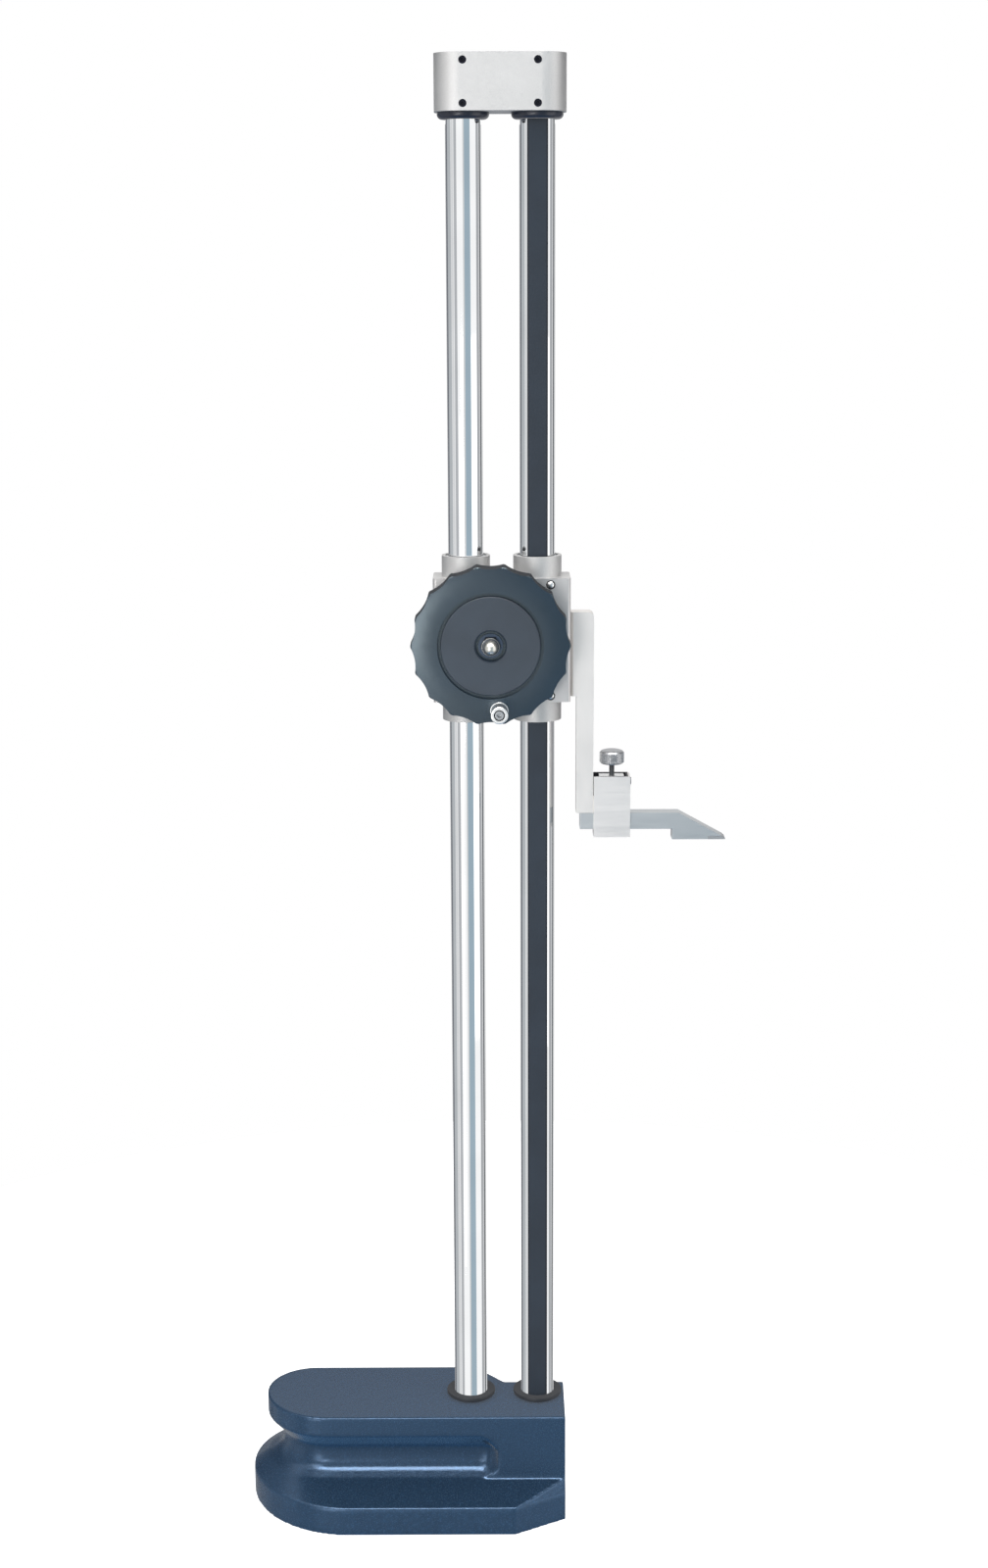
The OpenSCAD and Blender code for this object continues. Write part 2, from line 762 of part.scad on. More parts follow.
// A flanged bush at the front and a plain one behind the pinion
module pinion_bushes() {
    shaft_hole = shaft_d / 2 + running_fit;
    color("#c79a4b") translate([wheel_x, 0, carriage_z]) {
        difference() {
            union() {
                bar_y(front_bearing_r, block_front - eps, -column_r - 0.5);
                bar_y(front_bearing_r + 2.5, block_front - bush_flange_t, block_front);
            }
            bar_y(shaft_hole, block_front - 5, 0);
        }
        difference() {
            bar_y(bearing_r, rear_bush_y, block_back);
            bar_y(shaft_hole, rear_bush_y - 1, block_back + 1);
        }
    }
}

module sensor_board() {
    color("#2f6b46")
        block([scale_x - sensor_w / 2, sensor_y - sensor_t, carriage_z - sensor_h / 2],
              [scale_x + sensor_w / 2, sensor_y, carriage_z + sensor_h / 2]);
}

// Brass pad that the lock screw pushes against the column
module lock_pad() {
    color("#c79a4b") translate([main_x, 0, lock_z])
        bar_y(lock_screw_d / 2, column_r + clear_gap, column_r + clear_gap + 1.6);
}

module at_arm_screws() {
    for (z = [arm_top - 8, arm_top - arm_wide_len + 8]) translate([0, 0, carriage_z + z]) children();
}

module measuring_arm() {
    top = carriage_z + arm_top;
    corner = 3;
    bevel = 1.6;
    color("#d7dadc") difference() {
        union() {
            prism_y(-arm_w / 2, arm_w / 2) polygon(concat(
                [[arm_x, top - arm_wide_len], [arm_x, top]],
                arc(arm_out_x - corner, top - corner, corner, 90, 0, 6),
                [[arm_out_x, jaw_z], [arm_slim_x, jaw_z], [arm_slim_x, top - arm_wide_len]]));
            block([arm_out_x - eps, -jaw_w / 2, jaw_z], [arm_out_x + jaw_len, jaw_w / 2, jaw_top]);
        }
        at_arm_screws() {
            bar_x(arm_screw_d / 2 + seat_fit, arm_x - 1, arm_out_x + 1);
            bar_x(arm_screw_d * 0.9 + 0.2, arm_out_x - arm_screw_d - 0.5, arm_out_x + 1);
        }
        translate([arm_x, -arm_w / 2, top - arm_wide_len - 1]) linear_extrude(arm_wide_len + 2)
            polygon([[-eps, -eps], [bevel, -eps], [-eps, bevel]]);
    }
}

module arm_screws() {
    seat_x = arm_out_x - arm_screw_d - 0.5;
    color("#8d9197") at_arm_screws() difference() {
        union() {
            bar_x(arm_screw_d / 2, arm_x - arm_bite, seat_x + eps);
            bar_x(arm_screw_d * 0.9, seat_x, seat_x + arm_screw_d);
        }
        translate([seat_x + arm_screw_d + eps, 0, 0]) rotate([0, -90, 0])
            hex_socket(arm_screw_d * 0.75, arm_screw_d / 2);
    }
}

module at_panel_screws() {
    for (p = panel_screw_at) translate([p[0], 0, readout_z + p[1]]) children();
}

module readout_housing() {
    half = readout_len / 2;
    inner = half - readout_wall;
    color("#3d4753") difference() {
        union() {
            difference() {
                block([-half, block_back, readout_z - readout_h / 2],
                      [half, panel_y, readout_z + readout_h / 2]);
                block([-inner, readout_floor, readout_z - readout_h / 2 + readout_wall],
                      [inner, panel_y + 1, readout_z + readout_h / 2 - readout_wall]);
            }
            at_panel_screws() bar_y(post_r, readout_floor - eps, panel_y);
            for (x = [-1, 1], z = [-1, 1]) translate([x * board_post_x, 0, readout_z + z * board_post_z])
                bar_y(post_r, readout_floor - eps, board_y);
        }
        at_panel_screws() bar_y(panel_screw_r + seat_fit, panel_y - 6, panel_y + 1);
        block([half - port_t, port_y, readout_z - port_h / 2 - port_slide],
              [half + 1, port_y + port_w, readout_z + port_h / 2]);
        block([inner - 1, port_y + 2, readout_z - port_h / 2 + 2],
              [half + 1, port_y + port_w - 2, readout_z + port_h / 2 - 2]);
    }
}

module at_buttons(first, last) {
    for (i = [first : last]) translate([button_x0 + i * button_pitch, 0, button_z]) children();
}

module readout_panel() {
    half = readout_len / 2;
    color("#2b3138") difference() {
        block([-half, panel_y, readout_z - readout_h / 2], [half, readout_back, readout_z + readout_h / 2]);
        block([window_x - window_len / 2 + window_ledge, panel_y - 1, window_z - window_h / 2 + window_ledge],
              [window_x + window_len / 2 - window_ledge, readout_back + 1, window_z + window_h / 2 - window_ledge]);
        block([window_x - window_len / 2, readout_back - window_t, window_z - window_h / 2],
              [window_x + window_len / 2, readout_back + 1, window_z + window_h / 2]);
        at_buttons(0, 3) bar_y(button_d / 2 + 0.15, panel_y - 1, readout_back + 1);
        block([cell_x - cover_w / 2 - 0.15, readout_back - cover_depth, readout_z - readout_h],
              [cell_x + cover_w / 2 + 0.15, readout_back + 1, cover_top + 0.15]);
        at_panel_screws() bar_y(panel_screw_r + seat_fit, panel_y - 1, readout_back + 1);
        at_panel_screws() bar_y(panel_screw_r * 1.9, readout_back - 1, readout_back + 1);
    }
}

module display_window() {
    color([0.7, 0.78, 0.8, 0.4])
        block([window_x - window_len / 2 + seat_fit, readout_back - window_t, window_z - window_h / 2 + seat_fit],
              [window_x + window_len / 2 - seat_fit, readout_back - 0.2, window_z + window_h / 2 - seat_fit]);
}

module circuit_board() {
    color("#2f6b46") block([-board_len / 2, board_y, readout_z + board_rise - board_h / 2],
                           [board_len / 2, board_y + board_t, readout_z + board_rise + board_h / 2]);
}

module lcd_module() {
    color("#9fa89b")
        block([window_x - window_len / 2, board_y + board_t, window_z - window_h / 2],
              [window_x + window_len / 2, board_y + board_t + lcd_t, window_z + window_h / 2]);
}

module coin_cell() {
    color("#c4c8cc") translate([cell_x, 0, cell_z])
        bar_y(cell_d / 2, board_y + board_t, board_y + board_t + cell_t);
}

module panel_screws() {
    color("#9da1a6") at_panel_screws() difference() {
        union() {
            bar_y(panel_screw_r, panel_y - 5, readout_back - 1 + eps);
            bar_y(panel_screw_r * 1.8, readout_back - 1, readout_back - 0.1);
        }
        for (a = [0, 90]) rotate([0, a, 0])
            block([-1.2, readout_back - 0.6, -0.25], [1.2, readout_back, 0.25]);
    }
}

// A button is a round stem with a flange that keeps it behind the panel
module button(i) {
    under = board_y + board_t + button_travel + 0.4;
    at_buttons(i, i) {
        bar_y(button_d / 2, under, readout_back + 1.2);
        bar_y(button_d / 2 + 0.9, under, panel_y - 0.1);
    }
}

module power_button() { color("#b5473c") button(0); }
module zero_button() { color("#d9b23c") button(1); }
module units_button() { color("#c9cdd1") button(2); }
module hold_button() { color("#c9cdd1") button(3); }

module battery_cover() {
    low = readout_z - readout_h / 2;
    color("#363d46") difference() {
        block([cell_x - cover_w / 2, readout_back - cover_depth, low],
              [cell_x + cover_w / 2, readout_back, cover_top]);
        for (i = [0 : 3]) translate([0, 0, low + 4 + i * 1.8])
            block([cell_x - 4, readout_back - 0.4, 0], [cell_x + 4, readout_back + 1, 0.8]);
    }
}

module port_cover() {
    half = readout_len / 2;
    color("#363d46")
        block([half - port_t, port_y + 0.15, readout_z - port_h / 2],
              [half - 0.1, port_y + port_w - 0.15, readout_z + port_h / 2 - 0.15]);
}

// Half a tooth of the pinion: involute points from the base circle to the tip
base_circle_r = pinion_pitch_r * cos(pressure_angle);
function involute_angle(r) = let (a = acos(base_circle_r / r)) tan(a) * 180 / PI - a;
tooth_half_angle = 90 / pinion_teeth - backlash / 4 / pinion_pitch_r * 180 / PI
    + involute_angle(pinion_pitch_r);
flank_steps = 5;
function flank(side) = [for (i = [0 : flank_steps])
    let (r = base_circle_r + eps + (pinion_tip_r - base_circle_r - eps) * i / flank_steps,
         a = side * (tooth_half_angle - involute_angle(r)))
    [r * cos(a), r * sin(a)]];
function turned(points, a) = [for (p = points)
    [p[0] * cos(a) - p[1] * sin(a), p[0] * sin(a) + p[1] * cos(a)]];
root_half_angle = tooth_half_angle * 0.96;
tooth = concat(
    [[pinion_root_r * cos(root_half_angle), -pinion_root_r * sin(root_half_angle)]],
    flank(-1), [for (i = [flank_steps : -1 : 0]) flank(1)[i]],
    [[pinion_root_r * cos(root_half_angle), pinion_root_r * sin(root_half_angle)]]
);

module pinion_outline() {
    polygon([for (i = [0 : pinion_teeth - 1]) each turned(tooth, 180 + 360 * i / pinion_teeth)]);
}

thread_d = 5;
shoulder_r = 5;

module pinion_shaft() {
    color("#9aa0a6") translate([wheel_x, 0, carriage_z]) {
        prism_y(pinion_y, pinion_y + pinion_w) pinion_outline();
        bar_y(shaft_d / 2, nut_floor + 0.2, block_back - 0.2);
        bar_y(thread_d / 2, nut_floor - 6, nut_floor + 1);
        bar_y(shoulder_r, pinion_y + pinion_w - eps, rear_bush_y - clear_gap);
    }
}

// Rim outline with a hollow between every two points
module rim_outline() {
    r = wheel_d / 2;
    half_step = 180 / wheel_points;
    land_angle = 0.7;
    half_chord = r * sin(half_step - land_angle);
    sagitta = r * cos(half_step - land_angle) - (r - hollow_depth);
    hollow_r = (half_chord * half_chord + sagitta * sagitta) / (2 * sagitta);
    difference() {
        circle(r);
        for (i = [0 : wheel_points - 1]) rotate((i + 0.5) * 2 * half_step)
            translate([r - hollow_depth + hollow_r, 0]) circle(hollow_r);
    }
}

module handwheel() {
    r = wheel_d / 2;
    edge = 1;
    back_edge = 1.5;
    crown_r = 60;
    crown_start = face_disc_d / 2 + face_groove + 2;
    crown_tilt = asin((r + 0.06 - edge - crown_start) / (crown_r - edge));
    web_back = wheel_front + 6.5;
    rim_in = r - 6;
    knob_boss_r = knob_screw_d / 2 + 3;
    color("#3f4a57") translate([wheel_x, 0, carriage_z]) difference() {
        union() {
            intersection() {
                prism_y(wheel_front, wheel_back) rim_outline();
                revolve_y(concat(
                    [[0, wheel_back], [r - back_edge, wheel_back], [r + 1, wheel_back - back_edge - 1]],
                    arc(crown_start + (crown_r - edge) * sin(crown_tilt),
                        wheel_front + crown_r - (crown_r - edge) * cos(crown_tilt), edge, 0, crown_tilt - 90, 5),
                    arc(crown_start, wheel_front + crown_r, crown_r, crown_tilt - 92, -90, 2),
                    [[0, wheel_front]]));
            }
            translate([knob_x - wheel_x, 0, knob_z - carriage_z])
                bar_y(knob_collar_r + 0.35, wheel_front, wheel_front + 3);
        }
        difference() {
            revolve_y([[0, web_back], [rim_in, web_back], [rim_in, wheel_back + 1], [0, wheel_back + 1]]);
            bar_y(hub_r, web_back - 1, wheel_back);
            for (i = [0 : 5]) rotate([0, 30 + 60 * i, 0])
                block([0, web_back - 1, -1.2], [rim_in + 1, wheel_back - 2, 1.2]);
            translate([knob_x - wheel_x, 0, knob_z - carriage_z]) bar_y(knob_boss_r, web_back - 1, wheel_back - 1);
        }
        bar_y(face_disc_d / 2 + face_groove, wheel_front - 1, disc_floor);
        bar_y(nut_recess_d / 2, wheel_front - 1, nut_floor);
        bar_y(shaft_d / 2 + seat_fit, wheel_front, wheel_back + 1);
        translate([knob_x - wheel_x, 0, knob_z - carriage_z])
            bar_y(knob_screw_d / 2 + seat_fit, wheel_front - 1, wheel_front + 11);
    }
    color("#3f4a57") translate([wheel_x, 0, carriage_z]) difference() {
        bar_y(hub_r, wheel_back - eps, block_front - bush_flange_t - clear_gap);
        bar_y(shaft_d / 2 + seat_fit, wheel_back - 1, block_front);
    }
}

module face_disc() {
    disc_t = 2;
    edge = 0.8;
    color("#4a525c") translate([wheel_x, 0, carriage_z])
        revolve_y(concat([[nut_recess_d / 2, disc_floor], [face_disc_d / 2, disc_floor]],
            arc(face_disc_d / 2 - edge, disc_floor - disc_t + edge, edge, 0, -90, 4),
            [[nut_recess_d / 2 + edge, disc_floor - disc_t]],
            [[nut_recess_d / 2, disc_floor - disc_t + edge]]));
}

washer_t = 0.8;
nut_flats = 9.4;
nut_hex_h = 4.2;
nut_dome_r = 3.6;

module hub_washer() {
    color("#c9cdd2") translate([wheel_x, 0, carriage_z]) difference() {
        bar_y(nut_recess_d / 2 - 1.4, nut_floor - washer_t, nut_floor);
        bar_y(thread_d / 2 + running_fit, nut_floor - 2, nut_floor + 1);
    }
}

// Domed cap nut
module hub_nut() {
    back = nut_floor - washer_t;
    dome_y = back - nut_hex_h - 3.4;
    color("#e2e5e9") translate([wheel_x, 0, carriage_z]) difference() {
        union() {
            prism_y(back - nut_hex_h, back) circle(d = nut_flats / cos(30), $fn = 6);
            revolve_y(concat([[0, back - nut_hex_h + eps], [nut_dome_r, back - nut_hex_h + eps]],
                arc(0, dome_y, nut_dome_r, 0, -90, 8)));
        }
        bar_y(thread_d / 2 + seat_fit, nut_floor - 6.2, back + 1);
    }
}

module knob_collar() {
    color("#d2d6da") translate([knob_x, 0, knob_z]) difference() {
        bar_y(knob_collar_r, wheel_front - knob_collar_t, wheel_front);
        bar_y(knob_screw_d / 2 + seat_fit, wheel_front - 5, wheel_front + 1);
    }
}

knob_end = knob_back - knob_len;
screw_head_h = 3;
screw_head_r = knob_screw_d / 2 + 0.3;
screw_gap = 0.55;

module knob_screw() {
    head_seat = knob_end + screw_head_h + 0.3;
    color("#aab0b6") translate([knob_x, 0, knob_z]) difference() {
        union() {
            bar_y(knob_screw_d / 2, head_seat - eps, wheel_front + 10.5);
            bar_y(screw_head_r, head_seat - screw_head_h, head_seat);
        }
        translate([0, head_seat - screw_head_h - eps, 0]) rotate([-90, 0, 0])
            hex_socket(screw_head_r * 0.9, screw_head_h * 0.6);
    }
}

module crank_knob() {
    round_r = 0.6;
    color("#dde1e5") translate([knob_x, 0, knob_z]) difference() {
        revolve_y(concat([[0, knob_back]],
            arc(knob_d / 2 - round_r, knob_back - round_r, round_r, 90, 0, 3),
            arc(knob_d / 2 - round_r, knob_end + round_r, round_r, 0, -90, 3),
            [[0, knob_end]]));
        bar_y(knob_screw_d / 2 + running_fit, knob_end - 1, knob_back + 1);
        bar_y(screw_head_r + screw_gap, knob_end - 1, knob_end + screw_head_h + 0.3 + clear_gap);
    }
}

module lock_knob() {
    head_y = lock_boss_y + 3.5;
    head_t = 9;
    tip = column_r + clear_gap + 1.6 + clear_gap;
    color("#8f949a") translate([main_x, 0, lock_z]) {
        bar_y(lock_screw_d / 2 - running_fit, tip, head_y + eps);
        bar_y(lock_screw_d / 2 + 1.5, lock_boss_y + clear_gap, head_y + eps);
        intersection() {
            prism_y(head_y, head_y + head_t) knurl(lock_head_d / 2, 36, 0.5);
            revolve_y([[0, head_y], [lock_head_d / 2 - 1, head_y], [lock_head_d / 2, head_y + 1],
                       [lock_head_d / 2, head_y + head_t - 1], [lock_head_d / 2 - 1, head_y + head_t],
                       [0, head_y + head_t]]);
        }
    }
}

clamp_right = clamp_x + clamp_len;
clamp_end = 2.3;
bridge_inset = 2.95;
bridge_end_gap = 1;
bridge_screw_d = 4;
bridge_screw_end = clamp_right + 0.6;

// Frame round the jaw and the scriber, closed at its right end above the jaw
module clamp_frame() {
    corner = 1.2;
    color("#dcdee1") difference() {
        prism_y(-clamp_w / 2, clamp_w / 2) polygon(concat(
            [[clamp_x, clamp_top], [clamp_x, clamp_bottom], [clamp_right, clamp_bottom]],
            arc(clamp_right - corner, clamp_top - corner, corner, 0, 90, 4)));
        block([clamp_x - 1, -slot_w / 2, clamp_bottom + clamp_floor], [clamp_right + 1, slot_w / 2, bridge_z]);
        block([clamp_x - 1, -slot_w / 2, bridge_z - eps], [clamp_right - clamp_end, slot_w / 2, clamp_top + 1]);
        translate([0, 0, bridge_z + bridge_h / 2])
            bar_x(bridge_screw_d / 2 + seat_fit, clamp_mid, clamp_right + 1);
    }
}

module clamp_bridge() {
    color("#cfd2d5") difference() {
        block([clamp_x + bridge_inset, -slot_w / 2, bridge_z],
              [clamp_right - clamp_end - bridge_end_gap, slot_w / 2, clamp_top - 0.3]);
        translate([clamp_mid, 0, bridge_z - 1]) cylinder(r = clamp_screw_d / 2 + running_fit, h = bridge_h + 2);
        translate([0, 0, bridge_z + bridge_h / 2])
            bar_x(bridge_screw_d / 2 + seat_fit, clamp_mid + clamp_screw_d, clamp_right);
    }
}

module bridge_screw() {
    color("#4f5358") translate([0, 0, bridge_z + bridge_h / 2]) difference() {
        bar_x(bridge_screw_d / 2, clamp_mid + clamp_screw_d, bridge_screw_end);
        translate([bridge_screw_end + eps, 0, 0]) rotate([0, -90, 0])
            hex_socket(bridge_screw_d / 2, 1.2);
    }
}

module clamp_screw() {
    head_z = clamp_top + clamp_stem;
    r = clamp_head_d / 2;
    color("#a9adb1") translate([clamp_mid, 0, 0]) {
        translate([0, 0, jaw_top + clear_gap])
            cylinder(d = clamp_screw_d, h = head_z - jaw_top - clear_gap + eps);
        translate([0, 0, head_z]) intersection() {
            linear_extrude(clamp_head_h) knurl(r, 40, 0.4);
            rotate_extrude() polygon([[0, 0], [r - 2.2, 0], [r, 2], [r, clamp_head_h - 1.4],
                                      [r - 1.2, clamp_head_h - 0.4], [r - 3, clamp_head_h], [0, clamp_head_h]]);
        }
    }
}

tip_face = 1.5;

module scriber_bar() {
    slope_x = nose_x - slope_len;
    color("#b0b8bd") prism_y(-scriber_size / 2, scriber_size / 2) polygon([
        [scriber_x, scriber_bottom], [nose_x - nose_len, scriber_bottom], [nose_x - nose_len, nose_z],
        [nose_x - tip_len, nose_z], [nose_x - tip_len, nose_z + tip_t],
        [nose_x - tip_face, nose_z + tip_t], [slope_x, scriber_top], [scriber_x, scriber_top]
    ]);
}

module carbide_tip() {
    color("#5d6369") prism_y(-scriber_size / 2, scriber_size / 2) polygon([
        [nose_x - tip_len, nose_z], [nose_x, nose_z], [nose_x, nose_z + 0.4],
        [nose_x - tip_face, nose_z + tip_t], [nose_x - tip_len, nose_z + tip_t]
    ]);
}

base_casting();
main_column();
scale_column();
scale_strip();
column_bolts();
lower_buffer_seats();
lower_buffers();
upper_buffers();
top_cap();
cap_set_screws();
carriage_block();
front_cover();
cover_screws();
main_column_bushes();
scale_column_bushes();
pinion_bushes();
sensor_board();
lock_pad();
measuring_arm();
arm_screws();
readout_housing();
readout_panel();
display_window();
lcd_module();
circuit_board();
coin_cell();
panel_screws();
pinion_shaft();
handwheel();
face_disc();
hub_washer();
hub_nut();
knob_collar();
knob_screw();
crank_knob();
lock_knob();
clamp_frame();
clamp_bridge();
bridge_screw();
clamp_screw();
scriber_bar();
carbide_tip();
power_button();
zero_button();
units_button();
hold_button();
battery_cover();
port_cover();
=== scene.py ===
# %% [markdown]
# # A height gauge with two round columns
#
# The gauge stands on a heavy iron base, and its carriage slides on two polished columns. A handwheel
# turns a pinion on a rack, and a scriber sits in a clamp on the arm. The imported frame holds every
# piece at its real size, so these cells give the pieces their edges, their details, their finishes
# and their light.
#
# All lengths are metres, in the frame's own axes: Z is up, X runs along the scriber, and the
# handwheel looks towards -Y. Sizes are written in millimetres and multiplied by MM.

# %% Load the frame
import json
import math
import bpy
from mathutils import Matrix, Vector

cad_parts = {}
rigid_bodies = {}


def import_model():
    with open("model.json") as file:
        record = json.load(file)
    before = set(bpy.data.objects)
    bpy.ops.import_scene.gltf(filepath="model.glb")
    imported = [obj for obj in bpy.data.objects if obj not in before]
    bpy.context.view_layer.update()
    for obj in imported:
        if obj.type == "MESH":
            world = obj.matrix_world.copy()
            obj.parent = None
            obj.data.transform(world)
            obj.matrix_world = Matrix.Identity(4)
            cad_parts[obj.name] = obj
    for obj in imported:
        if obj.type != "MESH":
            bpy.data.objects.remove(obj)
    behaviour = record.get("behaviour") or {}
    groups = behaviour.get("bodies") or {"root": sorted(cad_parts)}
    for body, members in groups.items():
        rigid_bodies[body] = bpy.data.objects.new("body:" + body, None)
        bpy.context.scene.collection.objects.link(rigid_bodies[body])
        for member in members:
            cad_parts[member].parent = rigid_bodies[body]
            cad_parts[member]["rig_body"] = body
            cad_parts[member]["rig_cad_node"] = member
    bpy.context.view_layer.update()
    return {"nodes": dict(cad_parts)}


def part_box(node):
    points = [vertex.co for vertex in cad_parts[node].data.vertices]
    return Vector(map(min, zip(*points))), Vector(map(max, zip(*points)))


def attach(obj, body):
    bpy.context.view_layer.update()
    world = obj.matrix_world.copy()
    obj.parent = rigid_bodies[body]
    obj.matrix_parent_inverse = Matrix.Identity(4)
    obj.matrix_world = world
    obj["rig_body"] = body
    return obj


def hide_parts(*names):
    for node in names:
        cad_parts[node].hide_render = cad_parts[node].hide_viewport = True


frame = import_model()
MM = 0.001
slot_names = {
    node: piece.material_slots[0].name.split(".")[0] for node, piece in frame["nodes"].items()
}

# %% [markdown]
# ## The camera
#
# The picture was taken with a long lens from a little above the gauge, on its handwheel side. The
# plumb columns stay nearly parallel and the top of the base shows, so the camera stands about 1.3 m
# away and looks down by 12.6 degrees. Its long side is the upright one, so the sensor is fitted to it.

# %% Stand the camera
IMAGE_HEIGHT = 1600
FOCAL_PIXELS = 2430
SENSOR = 36
CAMERA_PLACE = (-0.0045, -1.261, 0.701)
TILT = math.radians(12.6)
ROLL = math.radians(0.227)
bpy.ops.object.camera_add(location=CAMERA_PLACE, rotation=(math.pi / 2 - TILT, 0, 0))
camera = bpy.context.object
camera.rotation_euler.rotate_axis("Z", -ROLL)
camera.data.sensor_fit = "VERTICAL"
camera.data.sensor_height = SENSOR
camera.data.lens = FOCAL_PIXELS / IMAGE_HEIGHT * SENSOR
bpy.context.scene.camera = camera
print("lens:", round(camera.data.lens, 2), "mm")

# %% [markdown]
# ## Helpers for the bench
#
# An operator acts on whatever is selected, and the frame leaves its nodes selected. So every step
# starts with one piece alone, and faces are then picked by their place or by the way they look. A
# hand would click them, but a rule still finds them when a size has changed.

# %% Pick one piece, and some of its faces
def pick(piece):
    """Selects one piece alone and makes it the active one."""
    if bpy.context.object and bpy.context.object.mode != "OBJECT":
        bpy.ops.object.mode_set(mode="OBJECT")
    bpy.ops.object.select_all(action="DESELECT")
    piece.select_set(True)
    bpy.context.view_layer.objects.active = piece
    return piece


def pick_faces(piece, wanted):
    """Opens a piece in edit mode with only the faces selected for which wanted(face) is true."""
    pick(piece)
    bpy.ops.object.mode_set(mode="EDIT")
    bpy.ops.mesh.select_mode(type="FACE")
    bpy.ops.mesh.select_all(action="DESELECT")
    bpy.ops.object.mode_set(mode="OBJECT")
    for face in piece.data.polygons:
        face.select = wanted(face)
    bpy.ops.object.mode_set(mode="EDIT")


def close_bench():
    """Leaves edit mode."""
    bpy.ops.object.mode_set(mode="OBJECT")


# %% Fix the place and the modifiers of a piece
def apply_place():
    """Moves the active object's place, turn and scale into its mesh."""
    bpy.ops.object.transform_apply(location=True, rotation=True, scale=True)
    return bpy.context.object


def apply_all(piece):
    """Applies every modifier of a piece, in order."""
    pick(piece)
    for modifier in list(piece.modifiers):
        bpy.ops.object.modifier_apply(modifier=modifier.name)
    return piece


# %% Find the middle of a node
def middle(node):
    """The middle of a node's box at rest."""
    low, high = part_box(node)
    return (low + high) / 2


# %% [markdown]
# A copy of a node comes as loose triangles. Its doubles are merged and its flat faces are joined, and
# only then can its edges be rounded, because a bevel follows edges between joined faces.

# %% Copy a node of the frame
SAME_PLACE = 0.002 * MM
SAME_PLANE = math.radians(0.4)


def bench_copy(node, name):
    """A copy of a node, under a new name, with doubles merged and flat faces joined."""
    pick(frame["nodes"][node])
    bpy.ops.object.duplicate()
    piece = bpy.context.object
    piece.name = name
    piece.parent = None
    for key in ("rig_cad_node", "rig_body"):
        del piece[key]
    bpy.ops.mesh.customdata_custom_splitnormals_clear()
    bpy.ops.object.mode_set(mode="EDIT")
    bpy.ops.mesh.select_all(action="SELECT")
    bpy.ops.mesh.remove_doubles(threshold=SAME_PLACE)
    bpy.ops.mesh.dissolve_limited(angle_limit=SAME_PLANE)
    close_bench()
    return piece


# %% [markdown]
# A bevel gives an edge its rounding, but smooth shading then bends the flats beside it. More
# segments would hide that at a cost. Weighted normals let the large faces win instead, so the flats
# stay flat and only the rounding turns.

# %% Round the edges of a piece
def round_edges(piece, width, segments=2, angle=35):
    """Rounds every edge sharper than angle, and shades the piece with weighted normals."""
    edge = piece.modifiers.new("edge", "BEVEL")
    edge.width = width
    edge.segments = segments
    edge.limit_method = "ANGLE"
    edge.angle_limit = math.radians(angle)
    edge.use_clamp_overlap = True
    apply_all(piece)
    bpy.ops.object.shade_smooth_by_angle(angle=math.radians(angle))
    even = piece.modifiers.new("even", "WEIGHTED_NORMAL")
    even.keep_sharp = True
    return apply_all(piece)


# %% [markdown]
# A finished piece stands for a node of the frame: it rides on the node's body, and the node itself is
# hidden. A copy of a node keeps the node's finish, and a new piece is painted. Its place goes into its
# mesh, so that the patterns on it stay where they are when it moves.

# %% Seat a piece and paint it
def seat(piece, node, *others):
    """Fixes a piece's place in its mesh, lets it ride on the node's body and hides the nodes it stands
    for.
    """
    pick(piece)
    apply_place()
    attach(piece, frame["nodes"][node]["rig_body"])
    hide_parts(node, *others)
    return piece


def paint(piece, material):
    """Gives a new piece its finish."""
    piece.data.materials.clear()
    piece.data.materials.append(material)
    return piece


def second_finish(piece, material, wanted):
    """Gives some faces of a piece another finish."""
    pick(piece)
    bpy.ops.object.material_slot_add()
    piece.material_slots[-1].material = material
    pick_faces(piece, wanted)
    piece.active_material_index = len(piece.material_slots) - 1
    bpy.ops.object.material_slot_assign()
    close_bench()
    return piece


# %% [markdown]
# A countersink or a turned corner is one solid cut by another, as on a lathe. The exact solver is
# slower than the fast one, but it keeps flat faces whole. Pieces that stand for one node, such as the
# heads of the cover's four screws, are joined at the end.

# %% Cut and join pieces
def cut(piece, cutter, way="DIFFERENCE"):
    """Cuts a piece with another one, which is then thrown away."""
    knife = piece.modifiers.new("knife", "BOOLEAN")
    knife.operation = way
    knife.solver = "EXACT"
    knife.material_mode = "TRANSFER"
    knife.object = cutter
    apply_all(piece)
    bpy.data.objects.remove(cutter, do_unlink=True)
    return piece


def join(pieces, name):
    """Joins pieces into the first of them."""
    bpy.ops.object.select_all(action="DESELECT")
    for piece in pieces:
        piece.select_set(True)
    bpy.context.view_layer.objects.active = pieces[0]
    bpy.ops.object.join()
    joined = bpy.context.object
    joined.name = name
    return joined


# %% [markdown]
# ## Finishes
#
# Each finish is a Principled shader with a few texture nodes in front of it. They read Object
# coordinates, so a pattern has its real size on every piece, and it stays put when a piece moves.
# A picture of each surface would need unwrapping, and it would blur close up.

# %% Start a finish
COAT_ROUGHNESS = 0.05


def tune(material, **sockets):
    """Sets sockets of a material's shader by their names, with _ for a blank."""
    shader = material.node_tree.nodes["Principled BSDF"]
    for name, value in sockets.items():
        shader.inputs[name.replace("_", " ")].default_value = value
    return material


def finish(name, colour, metallic=0.0, roughness=0.4, coat=0.0):
    """A new material with a Principled shader. Colour is linear red, green and blue."""
    material = bpy.data.materials.new(name)
    material.use_nodes = True
    return tune(material, Base_Color=(*colour, 1), Metallic=metallic, Roughness=roughness,
                Coat_Weight=coat, Coat_Roughness=COAT_ROUGHNESS)


